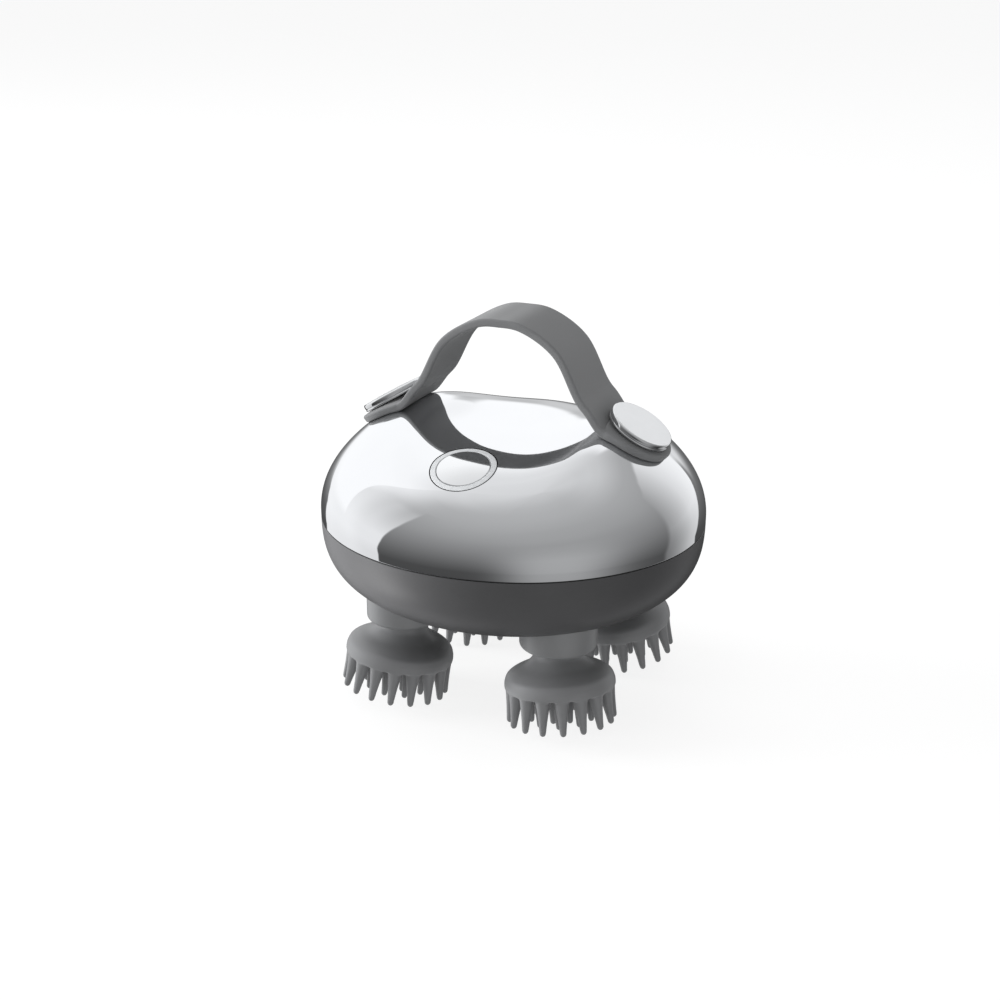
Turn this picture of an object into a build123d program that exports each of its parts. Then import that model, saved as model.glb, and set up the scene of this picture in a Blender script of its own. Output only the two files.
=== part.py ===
from build123d import *
import math
import os

os.makedirs("parts", exist_ok=True)

# ---------------------------------------------------------------- driving dimensions (mm)
BODY_A = 59.0            # half width of the body along X
BODY_B = 56.0            # half depth of the body along Y
WAIST_Z = 57.2           # height of the widest section
BELLY = 29.94            # depth of the lower superellipse below the waist
BELLY_N = 3.0            # its exponent
CROWN = 41.8             # height scale of the crown above the waist
SHOULDER_1 = -0.352      # how the crown flattens from its middle to its rim
SHOULDER_2 = 0.187
SADDLE = 15.07           # how far the middle of the crown dips under the strap
SADDLE_W = 27.3          # half width of the dip
SADDLE_P = 3.085         # how square its flanks are
SADDLE_FADE = 1.675      # how fast it fades towards the front and the back
SEAM_LO = 54.7           # top rim of the lower housing
SEAM_HI = 54.95          # bottom rim of the upper cover
COVER_WALL = 2.0
HOUSING_WALL = 2.5
UNDER_FLAT_Z = 27.6      # plane face in the middle of the underside

HEAD_X = 25.2            # head shafts: plan position
HEAD_Y = 24.29
HEAD_TILT = 9.0          # degrees, each head leans outwards
PIVOT_Z = 25.0           # where the tilted stub meets the vertical shaft
HEAD_R = 16.5            # radius of the silicone disc
DISC_L = 12.5            # distance from the pivot to the underside of the disc
TIP_R = 0.9              # radius of a bristle's rounded tip
TIP_CIRCLE = 15.4        # radius of the circle of the outer tips
ROOT_CIRCLE = 13.75      # radius of the circle of the outer bristle roots
BRISTLE_ROOT_R = 2.45
PULL_OFF = 10.0          # travel that takes a head off its stub

COLLAR_R = 11.5
COLLAR_Z0 = 25.4
COLLAR_Z1 = 36.0

MODULE = 1.0
TEETH_DRIVE = 50
TEETH_HEAD = 20
PRESSURE = 20.0
BACKLASH = 0.16
GEAR_Z0 = 38.4
GEAR_Z1 = 42.4
SHAFT_R = 2.5
RUN = 0.05               # radial running clearance
KNUCKLE_R = 3.6          # the crank's bend
KNUCKLE_Z0 = 25.2
KNUCKLE_Z1 = 28.4

PLATE_Z0 = 44.5
PLATE_Z1 = 47.0
PLATE_R = 41.6

BUTTON_Y = -35.8
BUTTON_R = 7.75
RING_RI = 7.9
RING_RO = 9.6
BUTTON_TRAVEL = 0.8

STRAP_HALF_W = 11.85
STRAP_T = 2.4
PAD_END = 11.2          # from the stud to the strap's tip
PAD_END_R = 12.3         # radius of the strap's round end
LIE_IN = 7.0             # the strap lies on the cover up to here past the stud,
LIE_OUT = 15.0           # and is clear of it from here on
LIE_MOST = 1.9           # most that its flat underside is pulled down
PLATE_TILT = 30.8        # slope of the strap's end pads
PAD_X = 38.6
PAD_Z = 84.67
CAP_R = 10.0
STUD_R = 3.0

SCREW_X = 46.0
SCREW_Y = 9.0

CONTACT_X = 5.0          # charge contacts in the back wall
CONTACT_Z = 45.0
PIN_R = 1.98
SEAT_R = 3.1

MOTOR_TOP = 77.2


# ---------------------------------------------------------------- helpers
def crown(x, y, drop=0.0):
    """Height scale of the crown over a plan position, less the wall."""
    dip = math.exp(-((abs(x) / SADDLE_W) ** SADDLE_P) - SADDLE_FADE * (y / BODY_B) ** 2)
    return CROWN - drop - SADDLE * dip


def shoulder(t):
    return 1 + SHOULDER_1 * t + SHOULDER_2 * t * t


def body_point(theta, rho, wall=0.0, z_end=46.0):
    """Point of the body skin: rho 0 at the top, 1 at z_end below the waist."""
    a, b = BODY_A - wall, BODY_B - wall
    rw = 0.828
    if rho <= rw:
        phi = rho / rw * math.pi / 2
        s = math.sin(phi)
        x, y = a * s * math.cos(theta), b * s * math.sin(theta)
        return (x, y, WAIST_Z + crown(x, y, wall) * math.cos(phi) * shoulder(s * s))
    z = WAIST_Z - (WAIST_Z - z_end) * (rho - rw) / (1 - rw)
    h = (WAIST_Z - z) / (BELLY - wall)
    s = (1 - h ** BELLY_N) ** (1 / BELLY_N)
    return (a * s * math.cos(theta), b * s * math.sin(theta), z)


def top_z(x, y, wall=0.0):
    a, b = BODY_A - wall, BODY_B - wall
    t = min(1.0, (x / a) ** 2 + (y / b) ** 2)
    return WAIST_Z + crown(x, y, wall) * math.sqrt(1 - t) * shoulder(t)


def top_normal(x, y):
    e = 1e-4
    gx = (top_z(x + e, y) - top_z(x - e, y)) / (2 * e)
    gy = (top_z(x, y + e) - top_z(x, y - e)) / (2 * e)
    n = Vector(-gx, -gy, 1)
    return n.normalized()


def crown_solid(wall=0.0, n=36):
    """Everything under the crown skin, closed by a plane below the waist."""
    grid = []
    for i in range(n + 1):
        u = -1 + 2 * i / n
        row = []
        for j in range(n + 1):
            v = -1 + 2 * j / n
            px = u * math.sqrt(1 - v * v / 2)
            py = v * math.sqrt(1 - u * u / 2)
            rho = min(1.0, math.hypot(px, py))
            row.append(body_point(math.atan2(py, px), rho, wall))
        grid.append([Vector(*p) for p in row])
    skin = Face.make_surface_from_array_of_points(grid, tol=1e-3)
    lid = Face(Wire(skin.edges()))
    return Solid(Shell([skin, lid]))


def belly_half(wall, z):
    h = min(1.0, max(0.0, (WAIST_Z - z) / (BELLY - wall)))
    return (BODY_A - wall) * (1 - h ** BELLY_N) ** (1 / BELLY_N)


def belly_solid(wall, z_floor, z_top, n=14):
    """Turned profile of the belly between two heights, squeezed along Y."""
    pts = []
    r0 = belly_half(wall, z_floor)
    h0 = (WAIST_Z - z_floor) / (BELLY - wall)
    for i in range(n + 1):
        # even steps along the superellipse, not along z
        t0 = math.atan2(h0 ** 1.5, (r0 / (BODY_A - wall)) ** 1.5)
        h1 = (WAIST_Z - z_top) / (BELLY - wall)
        r1 = belly_half(wall, z_top)
        t1 = math.atan2(h1 ** 1.5, (r1 / (BODY_A - wall)) ** 1.5)
        t = t0 + (t1 - t0) * i / n
        r = (BODY_A - wall) * math.cos(t) ** (2 / 3)
        z = WAIST_Z - (BELLY - wall) * math.sin(t) ** (2 / 3)
        pts.append((r, 0, z))
    pts[0] = (r0, 0, z_floor)
    pts[-1] = (belly_half(wall, z_top), 0, z_top)
    edges = [
        Edge.make_line((0, 0, z_floor), pts[0]),
        Edge.make_spline([Vector(*p) for p in pts]),
        Edge.make_line(pts[-1], (0, 0, z_top)),
        Edge.make_line((0, 0, z_top), (0, 0, z_floor)),
    ]
    face = Face(Wire(edges))
    solid = revolve(face, Axis.Z, 360)
    return scale(solid, by=(1, (BODY_B - wall) / (BODY_A - wall), 1))


def above(z):
    """Everything over a height, to trim with a true plane."""
    return Pos(0, 0, z + 100) * Box(300, 300, 200)


def cyl(r, z0, z1, x=0.0, y=0.0):
    return Solid.make_cylinder(r, z1 - z0, Plane((x, y, z0)))


def tube(ri, ro, z0, z1, x=0.0, y=0.0):
    return cyl(ro, z0, z1, x, y) - cyl(ri, z0 - 1, z1 + 1, x, y)


def along(plane, r, d0, d1, x=0.0, y=0.0):
    """Cylinder on a plane's normal from depth d0 to d1, at local x, y."""
    o = plane.from_local_coords((x, y, d0))
    return Solid.make_cylinder(r, d1 - d0, Plane(origin=o, x_dir=plane.x_dir, z_dir=plane.z_dir))


def block(plane, sx, sy, d0, d1, x=0.0, y=0.0):
    o = plane.from_local_coords((x - sx / 2, y - sy / 2, d0))
    return Solid.make_box(sx, sy, d1 - d0, Plane(origin=o, x_dir=plane.x_dir, z_dir=plane.z_dir))


def turned(points):
    """Solid of revolution about Z from closed (r, z) points joined by lines."""
    wire = Wire.make_polygon([Vector(r, 0, z) for r, z in points], close=True)
    return revolve(Face(wire), Axis.Z, 360)


def gather(*solids):
    out = []
    for s in solids:
        out += list(s.solids())
    return Compound(children=out) if len(out) > 1 else out[0]


def write(node, shape):
    shape.label = node
    export_step(shape, f"parts/{node}.step")


def involute(a):
    return math.tan(a) - a


def gear_face(teeth, phase_deg, z0):
    rp = MODULE * teeth / 2
    rb = rp * math.cos(math.radians(PRESSURE))
    ra = rp + 0.92 * MODULE
    rf = rp - 1.25 * MODULE
    half_p = (math.pi * MODULE / 2 - BACKLASH) / (2 * rp)
    inv_p = involute(math.radians(PRESSURE))

    def half(r):
        if r <= rb:
            return half_p + inv_p
        return half_p + inv_p - involute(math.acos(rb / r))

    r_start = max(rb, rf + 0.25)
    flank = [(rf, half(r_start) + 0.006)] + [
        (r_start + (ra - r_start) * k / 4, half(r_start + (ra - r_start) * k / 4)) for k in range(5)
    ]
    pts = []
    for k in range(teeth):
        c = math.radians(phase_deg) + 2 * math.pi * k / teeth
        for r, h in flank:
            pts.append((r * math.cos(c - h), r * math.sin(c - h), z0))
        for r, h in reversed(flank):
            pts.append((r * math.cos(c + h), r * math.sin(c + h), z0))
    return Face(Wire.make_polygon([Vector(*p) for p in pts], close=True))


def gear_blank(teeth, phase_deg, z0, z1):
    return Solid.extrude(gear_face(teeth, phase_deg, z0), Vector(0, 0, z1 - z0))


HEADS = {
    "fl": (-HEAD_X, -HEAD_Y),
    "fr": (HEAD_X, -HEAD_Y),
    "bl": (-HEAD_X, HEAD_Y),
    "br": (HEAD_X, HEAD_Y),
}
SCREWS = [(sx * SCREW_X, sy * SCREW_Y) for sx in (-1, 1) for sy in (-1, 1)]
POSTS = [(sx * 30.5, sy * 8.5) for sx in (-1, 1) for sy in (-1, 1)]

# ---------------------------------------------------------------- local frames
by, bz = BUTTON_Y, top_z(0, BUTTON_Y)
BUTTON = Plane(origin=(0, by, bz), x_dir=(1, 0, 0), z_dir=tuple(top_normal(0, by)))
beta = math.radians(PLATE_TILT)
PAD = {
    "right": Plane(origin=(PAD_X, 0, PAD_Z), x_dir=(math.cos(beta), 0, -math.sin(beta)),
                   z_dir=(math.sin(beta), 0, math.cos(beta))),
    "left": Plane(origin=(-PAD_X, 0, PAD_Z), x_dir=(-math.cos(beta), 0, -math.sin(beta)),
                  z_dir=(-math.sin(beta), 0, math.cos(beta))),
}

# ---------------------------------------------------------------- upper cover
outer = crown_solid(0.0)
inner = crown_solid(COVER_WALL)
skin_block = outer & above(SEAM_HI)
cover = skin_block - inner

# screw posts hang from the skin, joined to it over their whole top
posts = None
for sx, sy in SCREWS:
    p = cyl(3.6, 58.0, 90.0, sx, sy) & skin_block
    cover = cover + p
# flat pads inside, under the strap studs
for side, pl in PAD.items():
    cover = cover + (along(pl, 8.0, -3.6, 1.0) & skin_block)
    cover = cover - along(pl, 6.9, -9.0, -3.6)
# two pillars that carry the circuit board, along the button's axis
for lx in (-13.0, 13.0):
    cover = cover + (along(BUTTON, 2.2, -9.4, -0.8, lx, 0) & skin_block)
# drillings
for sx, sy in SCREWS:
    cover = cover - cyl(1.3, 57.0, 70.0, sx, sy)
for side, pl in PAD.items():
    cover = cover - along(pl, STUD_R + 0.05, -12, 6)
    cover = cover - along(pl, 13.9, -0.12, 6.0)
for lx in (-13.0, 13.0):
    cover = cover - along(BUTTON, 0.85, -9.5, -4.0, lx, 0)
cover = cover - along(BUTTON, RING_RO + 0.12, -6, 4)
write("upper_cover", gather(cover))

# button parts, all flush with the skin
ring_top = skin_block & (along(BUTTON, RING_RO, -3.2, 3) - along(BUTTON, RING_RI, -5, 5))
write("light_ring", gather(ring_top))
seal = along(BUTTON, RING_RO + 0.1, -4.4, -3.2) - along(BUTTON, 2.3, -5, -3) - along(BUTTON, 4.2, -3.55, -3)
write("button_seal", gather(seal))
face = skin_block & along(BUTTON, BUTTON_R, -2.3, 3)
write("power_button", gather(face))
plunger = along(BUTTON, 3.4, -3.1 + 0.65, -2.3) + along(BUTTON, 1.7, -7.1, -2.3)
write("button_plunger", gather(plunger))
switch = block(BUTTON, 6, 6, -9.4, -6.4) - along(BUTTON, 1.76, -8.3, -5)
write("tact_switch", gather(switch))
board = block(BUTTON, 34, 22, -10.6, -9.4)
for lx in (-13.0, 13.0):
    board = board - along(BUTTON, 1.15, -12, -9, lx, 0)
chips = block(BUTTON, 5, 5, -11.6, -10.6, -6, 3) + block(BUTTON, 3, 4, -11.4, -10.6, 4, -4)
board = board + chips
write("circuit_board", gather(board))
board_screws = []
for lx in (-13.0, 13.0):
    board_screws.append(along(BUTTON, 1.9, -12.0, -10.6, lx, 0) + along(BUTTON, 0.85, -11.0, -4.4, lx, 0))
write("board_screws", gather(*board_screws))

# ---------------------------------------------------------------- lower housing
belly = belly_solid(0.0, UNDER_FLAT_Z - 0.25, SEAM_LO) & above(UNDER_FLAT_Z)
hollow = belly_solid(HOUSING_WALL, 30.3, 56.0)
housing = belly - hollow
k = (BODY_B - COVER_WALL - 0.3) / (BODY_A - COVER_WALL - 0.3)


def oval(r, z0, z1):
    return scale(Solid.make_cylinder(r, z1 - z0, Plane((0, 0, z0))), by=(1, k, 1))


tongue = oval(BODY_A - COVER_WALL - 0.3, 51.5, 57.0) - oval(BODY_A - COVER_WALL - 1.6, 50.0, 58.0)
housing = housing + tongue
for x, y in HEADS.values():
    housing = housing + (cyl(14.0, 28.0, 37.4, x, y) & belly)
for sx, sy in SCREWS:
    housing = housing + (cyl(4.4, 30.0, 54.0, sx, sy) & belly)
for px, py in POSTS:
    housing = housing + cyl(3.2, 30.0, PLATE_Z0, px, py)
housing = housing + cyl(6.0, 30.0, 35.0)
for x, y in HEADS.values():
    housing = housing - cyl(COLLAR_R + 0.03, 20.0, COLLAR_Z1, x, y)
    housing = housing - cyl(4.2, 30.0, 40.0, x, y)
for sx, sy in SCREWS:
    housing = housing - cyl(2.9, 20.0, 45.0, sx, sy)
    housing = housing - cyl(1.7, 40.0, 60.0, sx, sy)
for px, py in POSTS:
    housing = housing - cyl(0.95, 36.0, 50.0, px, py)
housing = housing - cyl(4.02, 31.6, 40.0)
# two round seats for the charge contacts in the back wall


def rearward(r, y0, x):
    return Solid.make_cylinder(r, 75 - y0, Plane(origin=(x, y0, CONTACT_Z), x_dir=(1, 0, 0), z_dir=(0, 1, 0)))


for cx in (-CONTACT_X, CONTACT_X):
    housing = housing - rearward(SEAT_R + 0.02, 40.0, cx)
write("lower_housing", gather(housing))

seats, contacts = [], []
for cx in (-CONTACT_X, CONTACT_X):
    seats.append((rearward(SEAT_R, 46.6, cx) & belly) - rearward(PIN_R + 0.02, 40.0, cx))
    contacts.append(rearward(PIN_R, 44.6, cx) & belly)
write("contact_seats", gather(*seats))
write("charge_contacts", gather(*contacts))

seam_r = belly_half(0.0, SEAM_LO)
gasket = (scale(Solid.make_cylinder(seam_r - 0.35, SEAM_HI - SEAM_LO, Plane((0, 0, SEAM_LO))),
                by=(1, (BODY_B * seam_r / BODY_A - 0.35) / (seam_r - 0.35), 1))
          - oval(BODY_A - COVER_WALL - 0.2, 50, 60))
write("seam_gasket", gather(gasket))

# screws from below, hidden by rubber plugs flush with the skin
plugs = []
for sx, sy in SCREWS:
    plugs.append(cyl(2.88, 25.0, 41.0, sx, sy) & belly)
# the screw head bears on the step at the top of the counterbore
cover_screws = []
for sx, sy in SCREWS:
    cover_screws.append(cyl(2.6, 42.8, 45.0, sx, sy) + cyl(1.28, 44.0, 68.0, sx, sy)
                        - cyl(1.1, 42.0, 44.0, sx, sy))
write("cover_screws", gather(*cover_screws))
write("screw_plugs", gather(*plugs))

# ---------------------------------------------------------------- carry strap
c, s = math.cos(beta), math.sin(beta)
half = [
    (PAD_X + 13.5 * c, PAD_Z - 13.5 * s),
    (PAD_X + 4.0 * c, PAD_Z - 4.0 * s),
    (PAD_X - 8.38 * c, PAD_Z + 8.38 * s),
    (24.90, 94.34), (16.74, 108.34), (6.54, 114.46), (0.0, 115.09),
]


def catmull(points, per=8):
    """Centripetal Catmull-Rom through the points."""
    P = [Vector(*points[0], 0) * 2 - Vector(*points[1], 0)] + [Vector(*p, 0) for p in points]
    P.append(P[-1] * 2 - P[-2])
    out = []
    for i in range(1, len(P) - 2):
        p0, p1, p2, p3 = P[i - 1], P[i], P[i + 1], P[i + 2]
        t0 = 0.0
        t1 = t0 + (p1 - p0).length ** 0.5
        t2 = t1 + (p2 - p1).length ** 0.5
        t3 = t2 + (p3 - p2).length ** 0.5
        for q in range(per):
            t = t1 + (t2 - t1) * q / per
            a1 = p0 * ((t1 - t) / (t1 - t0)) + p1 * ((t - t0) / (t1 - t0))
            a2 = p1 * ((t2 - t) / (t2 - t1)) + p2 * ((t - t1) / (t2 - t1))
            a3 = p2 * ((t3 - t) / (t3 - t2)) + p3 * ((t - t2) / (t3 - t2))
            b1 = a1 * ((t2 - t) / (t2 - t0)) + a2 * ((t - t0) / (t2 - t0))
            b2 = a2 * ((t3 - t) / (t3 - t1)) + a3 * ((t - t1) / (t3 - t1))
            out.append(b1 * ((t2 - t) / (t2 - t1)) + b2 * ((t - t1) / (t2 - t1)))
    out.append(P[-2])
    return [(v.X, v.Y) for v in out]


full = half + [(-x, z) for x, z in reversed(half[:-1])]
line = catmull(full)
run = [0.0]
for (xa, za), (xb, zb) in zip(line, line[1:]):
    run.append(run[-1] + math.hypot(xb - xa, zb - za))
total = run[-1]


def strap_line(sta):
    k = max(1, min(len(run) - 1, sum(1 for r in run if r <= sta)))
    q = (sta - run[k - 1]) / (run[k] - run[k - 1])
    (xa, za), (xb, zb) = line[k - 1], line[k]
    return xa + (xb - xa) * q, za + (zb - za) * q


def strap_under(sta, y):
    """Underside of the strap: on the cover at the pads, free of it over the arch."""
    px, pz = strap_line(sta)
    lx, lz = (s if sta < total / 2 else -s), c
    gap = 0.0
    for _ in range(30):
        gap += 0.7 * max(-2.0, min(2.0, pz - lz * gap - top_z(px - lx * gap, y)))
    t = max(0.0, min(1.0, (LIE_OUT - (min(sta, total - sta) - 13.5)) / (LIE_OUT - LIE_IN)))
    gap -= 0.06
    pull = t * t * (3 - 2 * t) * (gap - 0.12 * math.log1p(math.exp((gap - LIE_MOST) / 0.12)))
    return Vector(px - lx * pull, y, pz - lz * pull)


def strap_top(sta, y):
    e = 0.4
    ds = strap_under(sta + e, y) - strap_under(sta - e, y)
    dy = strap_under(sta, y + e) - strap_under(sta, y - e)
    n = dy.cross(ds).normalized()
    return strap_under(sta, y) + (n if n.Z > 0 else -n) * STRAP_T


start = 13.5 - PAD_END - 1.2
stations = [start + (total - 2 * start) * i / 96 for i in range(97)]
across = [STRAP_HALF_W * (-1 + i / 5) for i in range(11)]
under = Face.make_surface_from_array_of_points(
    [[strap_under(q, y) for y in across] for q in stations], tol=2e-3)
over = Face.make_surface_from_array_of_points(
    [[strap_top(q, y) for y in across] for q in stations], tol=2e-3)


def nearest_edge(face, point):
    return min(face.edges(), key=lambda e: (e @ 0.5 - point).length)


sides = []
for sta, y in ((total / 2, -STRAP_HALF_W), (total / 2, STRAP_HALF_W), (start, 0.0), (total - start, 0.0)):
    sides.append(Face.make_surface_from_curves(nearest_edge(under, strap_under(sta, y)),
                                               nearest_edge(over, strap_top(sta, y))))
strap = Solid(Shell([under, over] + sides))
strap = strap if strap.volume > 0 else Solid(strap.wrapped.Reversed())
for side, pl in PAD.items():
    # rounded end about the stud
    off = PAD_END - PAD_END_R
    strap = strap - (block(pl, 30, 60, -8, 8, 15 + off, 0) - along(pl, PAD_END_R, -9, 9, off, 0))
    strap = strap - along(pl, STUD_R + 0.05, -6, 8)
    strap = strap - along(pl, CAP_R + 0.15, STRAP_T - 0.4, 8)
write("carry_strap", gather(strap))

for side, pl in PAD.items():
    t0 = STRAP_T - 0.4
    disc = along(pl, CAP_R, t0, t0 + 2.6)
    rim = disc.edges().filter_by(GeomType.CIRCLE)
    top_edge = max(rim, key=lambda e: (e.center() - Vector(*pl.origin)).dot(Vector(*pl.z_dir)))
    disc = fillet([top_edge], 0.7)
    stud = along(pl, STUD_R, -8.4, t0 + 0.5)
    write(f"strap_cap_{side}", gather(disc + stud))
washers, nuts = [], []
for side, pl in PAD.items():
    washers.append(along(pl, 6.4, -4.4, -3.6) - along(pl, STUD_R + 0.1, -6, -2))
    o = pl.from_local_coords((0, 0, -7.2))
    hexa = Solid.extrude(
        Face(Wire.make_polygon([
            pl.from_local_coords((5.6 * math.cos(math.radians(60 * i)), 5.6 * math.sin(math.radians(60 * i)), -7.2))
            for i in range(6)], close=True)), Vector(*pl.z_dir) * 2.8)
    nuts.append(hexa - along(pl, STUD_R + 0.02, -9, -3))
write("strap_washers", gather(*washers))
write("strap_nuts", gather(*nuts))

# ---------------------------------------------------------------- gearbox plate and motor group
plate = cyl(PLATE_R, PLATE_Z0, PLATE_Z1) - cyl(5.0, 40, 50)
for x, y in HEADS.values():
    plate = plate - cyl(4.02, 40, 50, x, y)
for px, py in POSTS:
    plate = plate - cyl(1.3, 40, 50, px, py)
motor_screw_xy = [(11.9 * sx, 11.9 * sy) for sx in (-1, 1) for sy in (-1, 1)]
for mx, my in motor_screw_xy:
    plate = plate - cyl(1.0, 40, 50, mx, my)
for ang in (90, 270):
    wx, wy = 31.0 * math.cos(math.radians(ang)), 31.0 * math.sin(math.radians(ang))
    if ang == 270:
        plate = plate - cyl(6.0, 40, 50, wx, wy)
write("gearbox_plate", gather(plate))
write("plate_screws", gather(*[
    cyl(2.4, PLATE_Z1, PLATE_Z1 + 1.6, px, py) + cyl(0.93, 38.0, PLATE_Z1 + 0.5, px, py)
    - cyl(0.9, PLATE_Z1 + 0.7, 60, px, py) for px, py in POSTS]))

gearbox = cyl(19.0, 47.0, 49.0) + cyl(14.0, 48.0, 57.0) - cyl(3.0 + RUN, 40.0, 54.0)
for mx, my in motor_screw_xy:
    gearbox = gearbox - cyl(1.1, 40, 60, mx, my) - cyl(2.5, 49.0, 60.0, mx, my)
write("motor_gearbox", gather(gearbox))
write("motor_screws", gather(*[
    cyl(2.0, 49.0, 50.4, mx, my) + cyl(0.98, 44.8, 49.5, mx, my) - cyl(0.8, 49.8, 52, mx, my)
    for mx, my in motor_screw_xy]))
can = cyl(12.0, 57.0, MOTOR_TOP)
can = fillet([max(can.edges().filter_by(GeomType.CIRCLE), key=lambda e: e.center().Z)], 1.2)
can = can & (Pos(0, 0, 68) * Box(40, 20, 30))
write("motor_can", gather(can))
cap = cyl(9.0, MOTOR_TOP, MOTOR_TOP + 2.2) + cyl(4.0, MOTOR_TOP + 2.0, MOTOR_TOP + 3.6)
for lx in (-6.2, 6.2):
    cap = cap - block(Plane.XY, 1.2, 3.0, MOTOR_TOP + 0.8, 90, lx, 0)
write("motor_end_cap", gather(cap))

# output shaft and drive gear
shaft = cyl(3.0, 32.4, 53.5) - (Pos(3.0, 0, 50.5) * Box(1.2, 8, 7))
write("output_shaft", gather(shaft))
drive = gear_blank(TEETH_DRIVE, 0.0, GEAR_Z0, GEAR_Z1) + cyl(7.0, GEAR_Z0 - 1.6, GEAR_Z1 + 1.2)
drive = drive - cyl(3.01, 30, 50)
for i in range(6):
    a = math.radians(60 * i + 30)
    drive = drive - cyl(4.2, 30, 50, 15.0 * math.cos(a), 15.0 * math.sin(a))
write("drive_gear", gather(drive))
clip = tube(3.02, 4.8, GEAR_Z0 - 2.4, GEAR_Z0 - 1.65) - (Pos(4.5, 0, 36.5) * Box(5, 2.4, 4))
write("gear_clip", gather(clip))
write("drive_bush", gather(tube(3.0 + RUN, 4.0, 31.6, 35.4)))

# battery
BAT_Y, BAT_Z, BAT_R, BAT_L = 27.2, 58.2, 9.1, 65.0
cell = Solid.make_cylinder(BAT_R, BAT_L, Plane(origin=(-BAT_L / 2, BAT_Y, BAT_Z), x_dir=(0, 1, 0), z_dir=(1, 0, 0)))
nub = Solid.make_cylinder(3.0, 1.6, Plane(origin=(BAT_L / 2 - 0.2, BAT_Y, BAT_Z), x_dir=(0, 1, 0), z_dir=(1, 0, 0)))
cell = cell + nub
write("battery_cell", gather(cell))
cradle = (Pos(0, 27.4, 50.75) * Box(40, 14.4, 7.5)) - Solid.make_cylinder(
    BAT_R + 0.05, 90, Plane(origin=(-45, BAT_Y, BAT_Z), x_dir=(0, 1, 0), z_dir=(1, 0, 0)))
write("battery_cradle", gather(cradle))

# ---------------------------------------------------------------- head drives
bearings, bushes, seals = [], [], []
tilt = math.radians(HEAD_TILT)
# the lowest bristle tip just meets z = 0
TIP_L = (PIVOT_Z - 0.963 * TIP_R - TIP_CIRCLE * math.sin(tilt)) / math.cos(tilt) + TIP_R


def bristle(root_r, tip_r, length):
    """Round-tipped cone with a tiny flat at its end, root at z = 0, pointing down."""
    zc = -(length - tip_r)
    ze = zc - tip_r * 0.96
    edges = [
        Edge.make_line((0, 0, 0.0), (root_r, 0, 0.0)),
        Edge.make_line((root_r, 0, 0.0), (tip_r, 0, zc)),
        Edge.make_three_point_arc((tip_r, 0, zc), (tip_r * 0.78, 0, zc - tip_r * 0.6258), (tip_r * 0.28, 0, ze)),
        Edge.make_line((tip_r * 0.28, 0, ze), (0, 0, ze)),
        Edge.make_line((0, 0, ze), (0, 0, 0.0)),
    ]
    return revolve(Face(Wire(edges)), Axis.Z, 360)


def head_skin():
    """Silicone head in its own frame: pivot at the origin, bristles along -Z."""
    prof = [
        Edge.make_line((5.02, 0, 1.6), (6.5, 0, 1.6)),
        Edge.make_line((6.5, 0, 1.6), (7.2, 0, 0.8)),
        Edge.make_line((7.2, 0, 0.8), (7.2, 0, -1.2)),
        Edge.make_spline([Vector(7.2, 0, -1.2), Vector(7.9, 0, -3.2), Vector(10.2, 0, -5.3),
                          Vector(13.4, 0, -6.8), Vector(15.6, 0, -8.3), Vector(16.4, 0, -10.2)]),
        Edge.make_line((16.4, 0, -10.2), (HEAD_R, 0, -DISC_L)),
        Edge.make_line((HEAD_R, 0, -DISC_L), (0, 0, -DISC_L)),
        Edge.make_line((0, 0, -DISC_L), (0, 0, -9.6)),
        Edge.make_line((0, 0, -9.6), (5.02, 0, -9.6)),
        Edge.make_line((5.02, 0, -9.6), (5.02, 0, 1.6)),
    ]
    body = revolve(Face(Wire(prof)), Axis.Z, 360)
    tools = []
    lean = math.atan2(TIP_CIRCLE - ROOT_CIRCLE, TIP_L - TIP_R - (DISC_L - 0.7))
    outer_len = (TIP_L - TIP_R - (DISC_L - 0.7)) / math.cos(lean) + TIP_R
    cone = bristle(BRISTLE_ROOT_R, TIP_R, outer_len)
    for i in range(16):
        a = 22.5 * i
        loc = Location((0, 0, 0), (0, 0, a)) * Location((ROOT_CIRCLE, 0, -(DISC_L - 0.7)), (0, -math.degrees(lean), 0))
        tools.append(cone.moved(loc))
    mid = bristle(2.1, 0.85, TIP_L + 0.1 - (DISC_L - 0.5))
    for i in range(9):
        a = math.radians(40 * i + 11)
        tools.append(mid.moved(Location((9.0 * math.cos(a), 9.0 * math.sin(a), -(DISC_L - 0.5)))))
    core = bristle(2.0, 0.85, TIP_L + 0.5 - (DISC_L - 0.5))
    for i in range(4):
        a = math.radians(90 * i + 20)
        tools.append(core.moved(Location((3.5 * math.cos(a), 3.5 * math.sin(a), -(DISC_L - 0.5)))))
    return body.fuse(*tools)


skin_proto = head_skin()
core_proto = turned([(5.0, -0.8), (5.0, -9.55), (0, -9.55), (0, -8.7), (SHAFT_R + RUN, -8.7), (SHAFT_R + RUN, -0.8)])

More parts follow.
